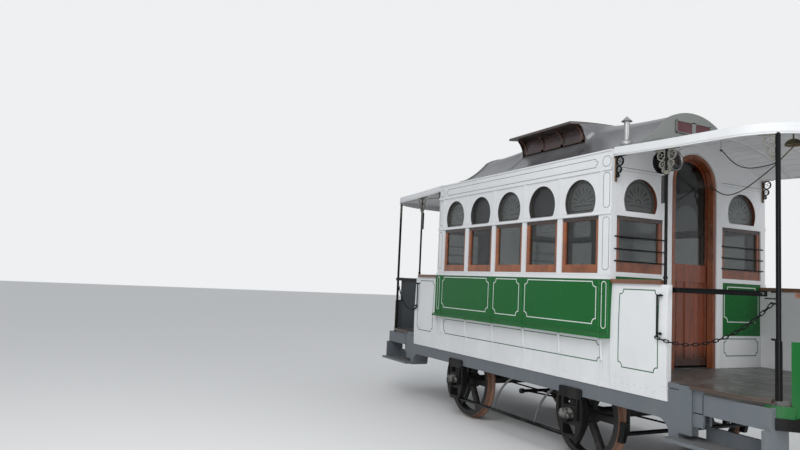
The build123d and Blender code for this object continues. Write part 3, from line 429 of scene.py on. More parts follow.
def dense(path, gap, closed=True):
    """The path with more points, so that no run is longer than gap."""
    full = []
    whole = path + path[:1] if closed else path
    for (x0, z0), (x1, z1) in zip(whole, whole[1:]):
        runs = max(1, math.ceil(math.hypot(x1 - x0, z1 - z0) / gap))
        full += [(x0 + (x1 - x0) * k / runs, z0 + (z1 - z0) * k / runs) for k in range(runs)]
    return full if closed else full + [path[-1]]


def circle(sides):
    """Cosines and sines of equal turns about a circle."""
    return [(math.cos(2 * math.pi * k / sides), math.sin(2 * math.pi * k / sides)) for k in range(sides)]


def shell(parts, rings, closed=False):
    """Adds a skin over rings of points to parts, which are lists of corners and faces. Open ends are capped."""
    verts, faces = parts
    base, n = len(verts), len(rings[0])
    for ring in rings:
        verts.extend(ring)
    for i in range(len(rings) - (not closed)):
        low, high = base + i * n, base + (i + 1) % len(rings) * n
        faces.extend((low + k, low + (k + 1) % n, high + (k + 1) % n, high + k) for k in range(n))
    if not closed:
        faces.append(tuple(base + k for k in reversed(range(n))))
        faces.append(tuple(len(verts) - n + k for k in range(n)))


def line_on(parts, path, at, width, gap=0.03, closed=True, proud=0.0007):
    """Adds a painted line to parts, along a path that at() lays on a wall."""
    path = dense(path, gap, closed)
    n = len(path)
    rings = []
    for i, (u, v) in enumerate(path):
        before = path[i - 1] if closed or i else path[i]
        after = path[(i + 1) % n] if closed or i < n - 1 else path[i]
        ways = []
        for (pu, pv), (qu, qv) in ((before, (u, v)), ((u, v), after)):
            size = math.hypot(qu - pu, qv - pv)
            if size > 1e-7:
                ways.append(((qu - pu) / size, (qv - pv) / size))
        du, dv = ways[0][0] + ways[-1][0], ways[0][1] + ways[-1][1]
        size = math.hypot(du, dv) or 1.0
        nu, nv = -dv / size, du / size
        reach = width / 2 / max(0.6, abs(nu * -ways[0][1] + nv * ways[0][0]))
        ring = []
        for share, lift in ((-reach, -0.0015), (-reach, proud), (reach, proud), (reach, -0.0015)):
            hit, outward = at(u + nu * share, v + nv * share)
            ring.append(hit + outward * lift)
        rings.append(ring)
    shell(parts, rings, closed)


def line_paint(name, paint, bare, chips, gloss):
    """A thin lining paint, worn like the coat under it."""
    return painted(name, paint, bare, (0.3, 0.28, 0.25, 1), chips, dust=0.0, grime=0.1, gloss=gloss, rounding=0.0)


dark_line = line_paint("dark_line", (0.075, 0.095, 0.085, 1), (0.42, 0.42, 0.41, 1), 0.3, 0.4)
dark_w = 0.0045
parts = ([], [])
for hand, sy in hands:
    boards = wall("side_frame_" + hand)
    line_on(parts, notched(-1.290, 1.290, 2.602, 2.676, 0.024, 0.006, 3), on_side(boards, sy), dark_w)
    for sx in (-1, 1):
        # columns: ends along the car, bottom, top, cut at the corners
        for frame_line in (
            (1.352, 1.448, 2.596, 2.684, 0.026), (1.366, 1.440, 1.712, 2.158, 0.018),
            (1.366, 1.440, 2.242, 2.540, 0.018),
        ):
            line_on(parts, chamfered(*frame_line), on_side(boards, sy, sx), dark_w)
piece("letterboard_lines", *parts, dark_line, slot="white_paint")

# Waist: gloss green boards between half-round battens, with a drip lip below and a white
# outline on each panel, notched at its corners.
green_tones = ((0.004, 0.100, 0.018, 1), (0.20, 0.25, 0.20, 1), (0.16, 0.18, 0.14, 1))
green_coat = dict(Specular_IOR_Level=0.25, Coat_Weight=0.06)
green = painted("green_paint", *green_tones, chips=0.3, dust=0.2, grime=0.08, gloss=0.22, **green_coat)
dress(green, "waist_panel_right", "waist_panel_left", "bulkhead_waist_panels")

white_line = line_paint("white_line", (0.62, 0.66, 0.63, 1), (0.10, 0.20, 0.11, 1), 0.6, 0.35)
white_w = 0.008
parts = ([], [])
for hand, sy in hands:
    boards = wall("waist_panel_" + hand)
    line_on(parts, notched(-0.222, 0.222, 1.246, 1.610), on_side(boards, sy), white_w, gap=0.2)
    for sx in (-1, 1):
        at = on_side(boards, sy, sx)
        line_on(parts, notched(0.320, 1.308, 1.250, 1.610), at, white_w, gap=0.2)
        line_on(parts, chamfered(1.374, 1.426, 1.222, 1.612, 0.016), at, 0.007, gap=0.2)
boards = wall("bulkhead_waist_panels")
for sx, sy in quarters:
    line_on(parts, notched(0.421, 0.900, 1.300, 1.624), on_end(boards, sx, sy), white_w, gap=0.2)
piece("waist_outlines", *parts, white_line, slot="white_paint")

# Rocker panels and end panels: white boards hollowed to a curve, with ribs, a thin green
# outline and a row of filled screw heads above the sill.
dress(white, "rocker_panel_right", "rocker_panel_left", "platform_sides_front", "platform_sides_rear")
green_line = line_paint("green_line", (0.008, 0.095, 0.030, 1), (0.5, 0.5, 0.48, 1), 0.2, 0.35)
green_w = 0.0085
parts = ([], [])
for hand, sy in hands:
    at = on_side(wall("rocker_panel_" + hand), sy)
    line_on(parts, notched(-1.318, 1.318, 0.936, 1.108, 0.034), at, green_w, gap=0.012)
    for end, sx in ends:
        at = on_side(wall("platform_sides_" + end), sy, sx)
        line_on(parts, notched(1.552, 1.955, 0.930, 1.556, 0.040), at, green_w)
        at = on_end(wall("bulkhead_" + end), sx, sy)
        line_on(parts, notched(0.412, 0.885, 0.989, 1.145, 0.030), at, green_w)
piece("rocker_outlines", *parts, green_line, slot="green_paint")


def dome(parts, at, u, v, radius, height, sides=8):
    """Adds a low round head to parts where at() puts it."""
    hit, outward = at(u, v)
    first = outward.orthogonal().normalized()
    second = outward.cross(first)
    # columns: share of the radius, height
    shell(parts, [
        [hit + (first * c + second * s) * radius * share + outward * lift for c, s in circle(sides)]
        for share, lift in ((1.0, -0.001), (1.0, height * 0.35), (0.6, height))])


def tube(parts, path, radius, sides=6, closed=False):
    """Adds a round bar along points in space to parts."""
    rings, across = [], None
    for i, spot in enumerate(path):
        before = path[i - 1] if closed or i else spot
        after = path[(i + 1) % len(path)] if closed or i < len(path) - 1 else spot
        way = (after - before).normalized()
        if across is None:
            across = way.orthogonal().normalized()
        across = (across - across.dot(way) * way).normalized()
        other = way.cross(across)
        rings.append([spot + (across * c + other * s) * radius for c, s in circle(sides)])
    shell(parts, rings, closed)


wide_screw, small_screw = (0.008, 0.004), (0.005, 0.002)
sill_row_z, side_row_z, stray = 0.790, 0.800, 0.012
rib_r, rib_top, rib_gap = 0.0115, 1.136, 0.016
parts, ribs = ([], []), ([], [])
for hand, sy in hands:
    at = on_side(wall("rocker_panel_" + hand), sy)
    for bay in range(-2, 3):
        for shift in (-0.19, -0.15, 0.03, 0.07, 0.20):
            dome(parts, at, bay * pitch + shift, sill_row_z + stray * math.sin(5 * shift + bay), *wide_screw)
    for i in range(-2, 4):
        path = [at(pitch * (i - 0.5), rib_top - rib_gap * k) for k in range(13)]
        tube(ribs, [hit + outward * 0.001 for hit, outward in path], rib_r, sides=8)
    for end, sx in ends:
        at = on_side(wall("platform_sides_" + end), sy, sx)
        for k in range(8):
            dome(parts, at, 1.520 + 0.068 * k, side_row_z + stray * (k % 2), *wide_screw)
        for k in range(9):
            dome(parts, at, 2.018, 0.84 + 0.088 * k, *small_screw)
piece("panel_screws", *parts, white, slot="white_paint", smooth=True)
piece("rocker_ribs", *ribs, white, slot="white_paint", smooth=True)

# Bulkheads: white frames round the doorway, with two fine lines above the lights. The
# linings of the arched openings are dark varnished wood.
bulkhead_paint = painted("bulkhead_paint", **white_look)
end_light_y, end_light_z = 0.6555, 2.316


def lining(x, y, z):
    """Mask of the linings of the arched openings in the bulkheads."""
    radius = distance(minus(absolute(y), end_light_y), minus(z, end_light_z))
    turned_in = remap(absolute(facing(y)["X"]), 0.5, 0.4)
    return times(remap(radius, 0.240, 0.235), turned_in, remap(z, 2.196, 2.200))


tinted(bulkhead_paint, lining, (0.095, 0.026, 0.012, 1))
dress(bulkhead_paint, "bulkhead_front", "bulkhead_rear")
parts = ([], [])
for end, sx in ends:
    boards = wall("bulkhead_" + end)
    for sy in (-1, 1):
        for z in (2.566, 2.592):
            at = on_end(boards, sx, sy)
            line_on(parts, [(0.36, z), (0.93, z)], at, dark_w, gap=0.1, closed=False)
piece("bulkhead_lines", *parts, dark_line, slot="white_paint")

# Canopy fascias: a white board bent round each end of the roof, with a half-round bead near
# its lower edge, and thin ribs under the boarded ceilings behind it.
dress(white, "canopy_fascia")


def bearings(start, stop, step):
    """Sines and cosines of the angles from start up to stop."""
    return [(math.sin(math.radians(a)), math.cos(math.radians(a))) for a in range(start, stop, step)]


canopy_x = 1.4


def canopy_edge(run):
    """Height of the canopy's lower edge, run past canopy_x, over its height there."""
    return -0.05685 * run + 0.01646 * run * run


corner_x, corner_y, corner_r, nose_r = 2.530, 0.490, 0.484, 1.464
bead_x, bead_y, bead_z, bead_r = 1.462, 0.9745, 2.696, 0.0045
nose_x = corner_x + (corner_r - nose_r) * math.sin(math.radians(60))
parts = ([], [])
for sx in (-1, 1):
    path = [(bead_x + 0.089 * k, -bead_y) for k in range(12)]
    path += [(corner_x + corner_r * sine, -corner_y - corner_r * cosine) for sine, cosine in bearings(0, 61, 6)]
    path += [(nose_x + nose_r * cosine, nose_r * sine) for sine, cosine in bearings(-27, 1, 3)]
    path += [(x, -y) for x, y in reversed(path[:-1])]
    tube(parts, [Vector((sx * x, y, bead_z + canopy_edge(x - canopy_x))) for x, y in path], bead_r)
piece("fascia_beads", *parts, white, slot="white_paint", smooth=True)

roof_under = wall("roof_deck")


def on_ceiling(x, y):
    """Places (x, y) on the underside of the roof."""
    return struck(roof_under, Vector((x, y, 1.9)), Vector((0, 0, 1)))


parts = ([], [])
# columns: place along the car, half length
for x, half in ((0.0, 0.92), (0.538, 0.92), (1.076, 0.92), (1.76, 0.92), (2.08, 0.92), (2.40, 0.92), (2.70, 0.86)):
    for sx in ((-1, 1) if x else (1,)):
        line_on(parts, [(sx * x, -half), (sx * x, half)], on_ceiling, 0.022, gap=0.09, closed=False, proud=0.012)
piece("ceiling_ribs", *parts, white, slot="white_paint")

# Varnished joinery: sashes, doors, door frames, cap rails and benches of oiled red-brown
# wood, its grain running along each member. Painted shade darkens the top rails of the
# windows; the doors are darker towards the bottom, and the rails near black up high.
grain, given, put = group(
    "wood_grain",
    {"Place": "V", "Pale": "C", "Deep": "C", "Scale": "F", "Wear": "F"},
    {"Color": "C", "Roughness": "F", "Height": "F"})
warp = noise(given["Place"], given["Scale"], 5.0, Roughness=0.62, Distortion=0.6)
pores = noise(given["Place"], times(given["Scale"], 9.0), 2.0)
figure = plus(times(warp, 0.88), times(pores, 0.12))
color = mix(remap(figure, 0.28, 0.68), given["Deep"], given["Pale"])
edge = times(edges(grain, 0.008, 0.99, 0.86), given["Wear"], 0.35)
color = mix(edge, color, (0.34, 0.16, 0.07, 1))
send(grain, put, Color=color, Roughness=remap(figure, 0.2, 0.8, 0.34, 0.22), Height=figure)


def wooden(name, pale, deep, stretch, coat=0.5):
    """A varnished wood whose grain is stretched along the small factor of stretch."""
    made, tree, shader = material(name, Coat_Weight=coat, Coat_Roughness=0.12)
    place = add(tree, "Mapping", {"Vector": where(tree)[0], "Scale": stretch}).outputs[0]
    figure = use(tree, grain, Place=place, Pale=pale, Deep=deep, Scale=1.0, Wear=0.6)
    surface(shader, *figure[:3], 0.0004, 0.003)
    return made


def top_rail_shade(x, y, z):
    """Mask of the top rails of the end windows, beside the doorway, where shade is painted."""
    rail = times(remap(z, 2.142, 2.145), remap(z, 2.192, 2.190))
    return times(rail, remap(absolute(y), 0.355, 0.360))


sash_wood = wooden("sash_wood", (0.300, 0.088, 0.024, 1), (0.105, 0.026, 0.009, 1), (9.0, 22.0, 9.0))
frame_wood = wooden("frame_wood", (0.235, 0.068, 0.022, 1), (0.085, 0.021, 0.009, 1), (14.0, 14.0, 9.0))
door_wood = wooden("door_wood", (0.225, 0.046, 0.011, 1), (0.070, 0.014, 0.005, 1), (20.0, 26.0, 1.8))
rail_wood = wooden("rail_wood", (0.190, 0.080, 0.040, 1), (0.070, 0.028, 0.014, 1), (2.5, 22.0, 22.0))
# Painted shade on the top rails: the side sashes from their top rails up, the rings of the toplights included, and
# the top rails of the end windows.
shade = (0.030, 0.014, 0.010, 1)
tinted(sash_wood, lambda x, y, z: remap(z, 2.146, 2.149), shade)
tinted(frame_wood, top_rail_shade, shade)
tinted(door_wood, lambda x, y, z: remap(z, 1.06, 0.95, 0.0, 0.85), (0.020, 0.012, 0.009, 1))
tinted(rail_wood, lambda x, y, z: remap(z, 1.9, 1.95), (0.012, 0.010, 0.009, 1))
dress(sash_wood, "window_sashes")


def recut(name, cuts, move, finish, slot, body="body"):
    """A copy of a CAD node cut at planes across the car, with its points moved, in the node's stead."""
    shape = bmesh.new()
    shape.from_mesh(nodes[name].data)
    for x in cuts:
        whole = shape.verts[:] + shape.edges[:] + shape.faces[:]
        bmesh.ops.bisect_plane(shape, geom=whole, plane_co=(x, 0, 0), plane_no=(1, 0, 0))
    for vert in shape.verts:
        vert.co = move(vert.co)
    mesh = bpy.data.meshes.new(name + "_skin")
    shape.to_mesh(mesh)
    shape.free()
    made = placed(name + "_skin", mesh, finish, body, slot)
    mesh.set_sharp_from_angle(angle=math.radians(38))
    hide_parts(name)


def widened(middle, inner, outer, growth):
    """Moves the points between two radii of a round-headed opening outward. Its head is round about middle."""
    def move(spot):
        rise = max(0.0, spot.z - middle)
        radius = math.hypot(spot.y, rise)
        if not inner < radius < outer:
            return spot
        grown = (radius + growth) / radius
        return Vector((spot.x, spot.y * grown, spot.z + rise * (grown - 1)))
    return move


frame_head, leaf_head = 2.532, 2.516
leaf_growth = 0.036
for end in ("front", "rear"):
    wide_frame = widened(frame_head, 0.190, 0.215, 0.040)
    wide_leaf = widened(leaf_head, 0.186, 0.215, leaf_growth)
    recut("bulkhead_joinery_" + end, (), wide_frame, frame_wood, "varnished_wood")
    recut("door_" + end, (), wide_leaf, door_wood, "varnished_wood", body="door_" + end)
dress(rail_wood, "hand_rails", "dash_rails", "benches")

# Glass: clear panes in the sashes and doors, frosted toplights etched with a fan, and dark
# red lights in the raised deck.
clear_glass, tree, shader = material("clear_glass", Roughness=0.015, IOR=1.45, Transmission_Weight=1.0)
place = where(tree)[0]
ripple = noise(place, 7.0, 1.0)
smear = noise(place, 2.5, 4.0)
# Painted shade: the clear panes are tinted dark grey so that the car looks dark inside; the smears vary the grey at
# random.
tint = mix(smear, (0.26, 0.275, 0.27, 1), (0.32, 0.335, 0.33, 1))
surface(shader, tint, remap(smear, 0.35, 0.75, 0.01, 0.06), ripple, 0.0004)
dress(clear_glass, "window_panes")
for end in ("front", "rear"):
    wide_pane = widened(leaf_head, 0.190, 0.215, leaf_growth)
    recut("door_glass_" + end, (), wide_pane, clear_glass, "clear_glass", body="door_" + end)

fan, given, put = group("fan_etching", {"Along": "F", "Up": "F"}, {"Stroke": "F"})
leaf_turn = math.pi / 8


def stroke_at(value, middle, outer, inner):
    """Mask of a stroke about the places where value is middle."""
    return remap(absolute(minus(value, middle)), outer, inner)


rise = plus(given["Up"], 0.010)
radius = distance(given["Along"], rise)
angle = calc("ARCTAN2", rise, given["Along"])
part = calc("FRACT", plus(calc("DIVIDE", angle, leaf_turn), 0.5))
off = times(absolute(minus(part, 0.5)), leaf_turn, radius)
leaf = remap(minus(remap(radius, 0.050, 0.120, 0.003, 0.009), off), 0.0, 0.002)
leaf = times(leaf, remap(off, 0.0008, 0.002), remap(radius, 0.043, 0.047))
leaf = times(leaf, remap(radius, 0.145, 0.138))
bud = times(stroke_at(radius, 0.030, 0.007, 0.004), remap(off, 0.0055, 0.004))
leaf = times(most(leaf, bud), remap(rise, -0.002, 0.001))
ring = distance(given["Along"], given["Up"])
rim = times(stroke_at(ring, 0.170, 0.0038, 0.0022), remap(given["Up"], -0.082, -0.080))
base = times(stroke_at(given["Up"], -0.081, 0.0038, 0.0022), remap(ring, 0.172, 0.170))
reach = calc("POWER", given["Along"], 2.0)
scroll = times(stroke_at(given["Up"], -0.036, 0.0045, 0.003), remap(reach, 0.0146, 0.0140))
send(fan, put, Stroke=most(leaf, most(rim, most(base, scroll))))


def etched(name, bays, middle, clear_below=None):
    """Frosted glass with a clear fan in each pane, in the bays of a side or beside a doorway."""
    made, tree, shader = material(name, IOR=1.45, Transmission_Weight=0.93)
    place, x, y, z = where(tree)
    rise = minus(z, middle)
    if bays:
        bay, along = in_bay(x)
        dim = calc("MODULO", absolute(bay), 2.0)
        stroke = times(use(tree, fan, Along=along, Up=rise)["Stroke"], remap(dim, 0.0, 1.0, 1.0, 0.3))
    else:
        dim = 0.0
        stroke = use(tree, fan, Along=minus(absolute(y), end_light_y), Up=rise)["Stroke"]
    frost = noise(place, 420.0, 2.0)
    tint = mix(noise(place, 4.0, 4.0), (0.40, 0.42, 0.42, 1), (0.50, 0.52, 0.51, 1))
    tint = mix(dim, tint, (0.20, 0.21, 0.21, 1))
    # Painted shade: the clear strokes of the fan are tinted dark, as the dark inside shows through them.
    tint = mix(times(stroke, 0.7), tint, (0.10, 0.11, 0.11, 1))
    rough = remap(stroke, 0.0, 1.0, 0.48, 0.14)
    if clear_below:
        frosted = remap(z, clear_below, clear_below + 0.01)
        # Painted shade: the clear lower part of the end lights is tinted dark grey, like the clear panes.
        tint = mix(frosted, (0.25, 0.27, 0.265, 1), tint)
        rough = times(rough, remap(frosted, 0.0, 1.0, 0.04, 1.0))
    surface(shader, tint, rough, frost, 0.0002)
    return made


dress(etched("etched_glass", True, toplight_z), "toplight_panes")
dress(etched("bulkhead_glass", False, end_light_z, clear_below=2.190), "bulkhead_panes")

# Roof: boards under painted canvas, grey outside, and a white boarded ceiling inside. The
# canvas lies close over the canopies and thicker over the saloon.
boarding, given, put = group("boarding", {"Across": "F", "Width": "F", "Gap": "F"}, {"Groove": "F", "Tone": "F"})
count = calc("DIVIDE", given["Across"], given["Width"])
share = calc("FRACT", count)
near = times(calc("MINIMUM", share, minus(1.0, share)), given["Width"])
tone = add(boarding, "TexWhiteNoise", {"W": calc("FLOOR", count)}, noise_dimensions="1D").outputs[0]
send(boarding, put, Groove=remap(near, 0.0, given["Gap"], 1.0, 0.0), Tone=tone)
canvas_dark = (0.085, 0.083, 0.088, 1)

roof, tree, shader = material("roof_canvas")
place, x, y, z = where(tree)
under = remap(facing(place, "Normal")["Z"], 0.0, -0.05)
cloth = noise(place, 1.6, 6.0, Roughness=0.62)
weave = noise(place, 240.0, 2.0)
canvas = mix(remap(cloth, 0.35, 0.7), canvas_dark, (0.150, 0.153, 0.160, 1))
planks = use(tree, boarding, Across=y, Width=0.085, Gap=0.004)
ceiling = mix(planks["Tone"], (0.66, 0.665, 0.675, 1), (0.72, 0.725, 0.73, 1))
ceiling = mix(times(planks["Groove"], 0.55), ceiling, (0.22, 0.22, 0.22, 1))
relief = plus(times(weave, 0.2), cloth)
relief = minus(relief, times(planks["Groove"], under))
surface(shader, mix(under, canvas, ceiling), remap(cloth, 0.3, 0.7, 0.30, 0.46), relief, 0.002)


def roof_top(x, y):
    """Height of the canvas at (x, y): thin over the canopies, and level with the boards at its edge."""
    share = min(1.0, max(0.0, (abs(x) - 1.36) / 0.24))
    under = on_ceiling(0.995 * x, 0.99 * y)[0].z
    run = abs(x) - canopy_x
    edge = 2.732 if run < 0.06 else 2.754 + canopy_edge(run)
    return max(under + 0.040 - 0.026 * share * share * (3 - 2 * share), edge)


def lowered(spot):
    """Moves a point of the roof's top down to the canvas."""
    if spot.z < on_ceiling(0.995 * spot.x, 0.99 * spot.y)[0].z + 0.03:
        return spot
    return Vector((spot.x, spot.y, roof_top(spot.x, spot.y)))


bends = (1.36, 1.40, 1.44, 1.48, 1.52, 1.56, 1.60, 1.75, 1.90, 2.05, 2.20, 2.35, 2.50, 2.65, 2.80, 2.95)
recut("roof_deck", [sx * x for x in bends for sx in (-1, 1)], lowered, roof, "roof_canvas")

# Raised deck: canvas stretched over a low lantern, with wide eaves over the side lights and
# flares that sweep down to a bell-shaped board at each end.
canvas_coat, tree, shader = material("deck_canvas", Coat_Weight=0.4, Coat_Roughness=0.22)
place = where(tree)[0]
cloth = noise(place, 1.6, 6.0, Roughness=0.62)
drawn = add(tree, "Mapping", {"Vector": place, "Scale": (1.5, 7.0, 7.0)}).outputs[0]
folds = noise(drawn, 1.0, 3.0)
canvas = mix(remap(cloth, 0.35, 0.7), canvas_dark, (0.165, 0.168, 0.175, 1))
relief = plus(times(folds, 1.2), times(cloth, 0.5))
surface(shader, canvas, remap(cloth, 0.3, 0.7, 0.26, 0.42), relief, 0.006)


def recess_shade(x, y, z):
    """Mask of the recess of the side lights and the soffit above it, where shade is painted."""
    inside = times(remap(absolute(x), 0.5225, 0.5215), remap(z, 3.010, 3.045))
    return times(inside, remap(facing(x)["Z"], 0.75, 0.5))


# Painted shade: the recess of the side lights and the soffit of the eaves are darkened to a dark brown.
tinted(canvas_coat, recess_shade, (0.050, 0.034, 0.029, 1))

roof_z, sill_z = 2.993, 3.040
skirt = (0.760, 2.790)
cap_x, deck_x = 0.520, 1.440
cap_y, cap_z, cap_t = 0.650, 3.221, 0.025
hood_board, hood_t = 0.010, 0.012
# columns: place along the car, half width, edge height above the roof crown, crown height,
# waist half width, waist height
deck_rows = [
    (0.520, 0.540, 0.222, 0.262, 0.450, 0.030),
    (0.545, 0.430, 0.180, 0.259, 0.455, 0.012),
    (0.600, 0.370, 0.137, 0.253, 0.465, -0.005),
    (0.800, 0.350, 0.120, 0.232, 0.480, -0.028),
    (1.000, 0.345, 0.110, 0.214, 0.495, -0.040),
    (1.440, 0.340, 0.100, 0.197, 0.495, -0.048)]


def arc(p, q, r, runs):
    """Points on the circle through three points, from p to r."""
    (ax, ay), (bx, by), (cx, cy) = p, q, r
    d = 2 * (ax * (by - cy) + bx * (cy - ay) + cx * (ay - by))
    a, b, c = ax * ax + ay * ay, bx * bx + by * by, cx * cx + cy * cy
    ox = (a * (by - cy) + b * (cy - ay) + c * (ay - by)) / d
    oy = (a * (cx - bx) + b * (ax - cx) + c * (bx - ax)) / d
    start, mid, end = (math.atan2(y - oy, x - ox) for x, y in (p, q, r))
    sweep = (end - start) % (2 * math.pi)
    if (mid - start) % (2 * math.pi) > sweep:
        sweep -= 2 * math.pi
    size = math.hypot(ax - ox, ay - oy)
    angles = [start + sweep * k / runs for k in range(runs + 1)]
    return [(ox + size * math.cos(a), oy + size * math.sin(a)) for a in angles]


def blended(rows, x):
    """The row at x, on a smooth curve through the rows."""
    last = len(rows) - 2
    i = max(k for k in range(last + 1) if rows[k][0] <= x or k == 0)
    (x0, *p0), (x1, *p1) = rows[i], rows[i + 1]
    gap = x1 - x0
    t = (x - x0) / gap
    full = []
    for k, (a, b) in enumerate(zip(p0, p1), 1):
        low = (rows[i + 1][k] - rows[i - 1][k]) / (x1 - rows[i - 1][0]) * gap if i else (b - a) * 1.1
        high = (rows[i + 2][k] - a) / (rows[i + 2][0] - x0) * gap if i < last else 0.0
        held = (2 * t ** 3 - 3 * t * t + 1) * a + (3 * t * t - 2 * t ** 3) * b
        full.append(held + (t ** 3 - 2 * t * t + t) * low + (t ** 3 - t * t) * high)
    return full


def on_roof(y, z):
    """Keeps a point from going more than a little below the roof."""
    return (y, max(z, roof_top(0.0, y) - 0.006))


def deck_outline(x):
    """Left skirt, crown and right skirt of the deck at x."""
    half, edge, crown, waist_y, waist = blended(deck_rows, x)
    side_arc = arc((half, roof_z + edge), (waist_y, roof_z + waist), skirt, 22)
    side_arc = [on_roof(max(y, 0.3), max(z, skirt[1] - 0.02)) for y, z in side_arc]
    top_arc = arc((-half, roof_z + edge), (0, roof_z + crown), (half, roof_z + edge), 22)
    return [(-y, z) for y, z in reversed(side_arc)] + top_arc[1:-1] + side_arc


flares, boards = ([], []), ([], [])
rim = deck_outline(deck_x)
grown = []
for i, (y, z) in enumerate(rim):
    (y0, z0), (y1, z1) = rim[max(i - 1, 0)], rim[min(i + 1, len(rim) - 1)]
    size = math.hypot(y1 - y0, z1 - z0)
    grown.append((y - (z1 - z0) / size * hood_board, z + (y1 - y0) / size * hood_board))


def across_at(xs, line):
    """Copies of an outline, a (y, z) path, at places along the car."""
    return [[(x, y, z) for y, z in line] for x in xs]


flare_xs = [cap_x + (deck_x - cap_x) * (k / 24) ** 1.3 for k in range(25)]
for sx in (-1, 1):
    shell(flares, [[(sx * x, y, z) for y, z in deck_outline(x)] for x in flare_xs])
    shell(boards, across_at((sx * (deck_x - hood_t), sx * (deck_x + 0.004)), grown))
skirt_arc = [on_roof(y, z) for y, z in arc((0.430, sill_z), (0.560, roof_z - 0.088), skirt, 14)]
wall_line = [(0.430, sill_z + 0.175)] + skirt_arc
shell(flares, across_at((-cap_x, cap_x), [(-y, z) for y, z in reversed(wall_line)] + wall_line))
cap = arc((-cap_y, cap_z), (0, 3.260), (cap_y, cap_z), 24)
shell(flares, across_at((-cap_x, cap_x), cap + [(y, z - cap_t) for y, z in reversed(cap)]))
deck = piece("deck_canvas", *flares, canvas_coat, slot="roof_canvas", smooth=True)
deck.data.set_sharp_from_angle(angle=math.radians(38))
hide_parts("monitor_deck")
hood_paint = painted(
    "hood_paint", (0.150, 0.165, 0.155, 1), (0.30, 0.29, 0.27, 1), (0.22, 0.21, 0.19, 1),
    chips=0.5, dust=0.4, grime=0.0, gloss=0.35)
piece("hood_boards", *boards, hood_paint, slot="roof_canvas")


def slat(parts, low, high):
    """Adds a box to parts."""
    (x0, y0, z0), (x1, y1, z1) = low, high
    shell(parts, [[(x, y0, z0), (x, y1, z0), (x, y1, z1), (x, y0, z1)] for x in (x0, x1)])


bars, hood_bars = ([], []), ([], [])
bar_w = 0.020
light_l = (2 * cap_x - 3 * bar_w) / 3
light_z0, light_z1 = 3.046, 3.190
for sy in (-1, 1):
    ys = sorted((sy * 0.444, sy * 0.454))
    for i in range(3):
        x0 = -cap_x + 1.5 * bar_w + light_l * i
        for a in (x0, x0 + light_l - bar_w):
            slat(bars, (a, ys[0], light_z0), (a + bar_w, ys[1], light_z1))
        for a, b in ((light_z0, light_z0 + bar_w), (light_z1 - 0.018, light_z1)):
            slat(bars, (x0, ys[0], a), (x0 + light_l, ys[1], b))
    for sx in (-1, 1):
        xs = sorted((sx * 1.449, sx * 1.457))
        # columns: one corner (y, z), the other
        for (y0, z0), (y1, z1) in (
            ((0.0, 2.995), (0.024, 3.110)), ((0.216, 2.995), (0.226, 3.108)),
            ((0.0, 2.995), (0.226, 3.003)), ((0.0, 3.100), (0.226, 3.110)),
        ):
            slat(hood_bars, (xs[0], sy * y0, z0), (xs[1], sy * y1, z1))
light_wood = wooden("light_wood", (0.062, 0.034, 0.027, 1), (0.032, 0.016, 0.012, 1), (14.0, 14.0, 14.0), coat=0.3)
piece("deck_light_frames", *bars, light_wood, slot="vent_glass")
piece("hood_light_frames", *hood_bars, hood_paint, slot="vent_glass")
struts, strut_r = ([], []), 0.0075
strut_bow = arc((0.446, 3.050), (0.458, 3.135), (0.535, 3.204), 8)
for sy in (-1, 1):
    for x in (-0.462, -0.154, 0.154, 0.462):
        tube(struts, [Vector((x, sy * y, z)) for y, z in strut_bow], strut_r)
strut_wood = wooden("strut_wood", (0.120, 0.045, 0.032, 1), (0.060, 0.022, 0.016, 1), (14.0, 14.0, 14.0), coat=0.2)
piece("deck_struts", *struts, strut_wood, slot="varnished_wood")

vent_glass = mottled(
    "vent_glass", 5.0, 4.0, ((0.060, 0.054, 0.055, 1), (0.105, 0.062, 0.064, 1)), (0.3, 0.7, 0.08, 0.25), 0.0005,
    spread=(0.35, 0.7), IOR=1.45)
tinted(vent_glass, lambda x, y, z: remap(absolute(x), 1.30, 1.35), (0.080, 0.022, 0.027, 1))
dress(vent_glass, "monitor_lights")

zinc, tree, shader = material("galvanised", Metallic=0.85)
place = where(tree)[0]
spangle = add(tree, "TexVoronoi", {"Vector": place, "Scale": 60.0}).outputs[0]
stain = noise(place, 9.0, 4.0)
tint = mix(stain, (0.30, 0.30, 0.31, 1), (0.50, 0.50, 0.49, 1))
surface(shader, tint, remap(stain, 0.3, 0.7, 0.4, 0.6), spangle, 0.0004)
dress(zinc, "lamp_flues")
collars = ([], [])
flue_x, flue_y = 1.212, 0.585
flue_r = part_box("lamp_flues")[1].y - flue_y
for sx in (-1, 1):
    rings = []
    for r, z in ((flue_r + 0.006, 2.846), (flue_r + 0.006, 2.880), (flue_r + 0.002, 2.905)):
        rings.append([(sx * flue_x + r * c, -sx * flue_y + r * s, z) for c, s in circle(20)])
    shell(collars, rings)
piece("flue_collars", *collars, zinc, slot="galvanised", smooth=True)

# Platforms: worn grey planks, with brown nosings, curved sheet dashes and their bumpers, and
# grey boards that close the corner above each step.
grey = painted(
    "grey_paint", (0.098, 0.115, 0.132, 1), (0.24, 0.23, 0.22, 1), (0.17, 0.16, 0.145, 1),
    chips=0.9, dust=0.6, grime=0.30, gloss=0.38)
dress(grey, "solebars", "cross_bearers", "steps_front", "steps_rear")

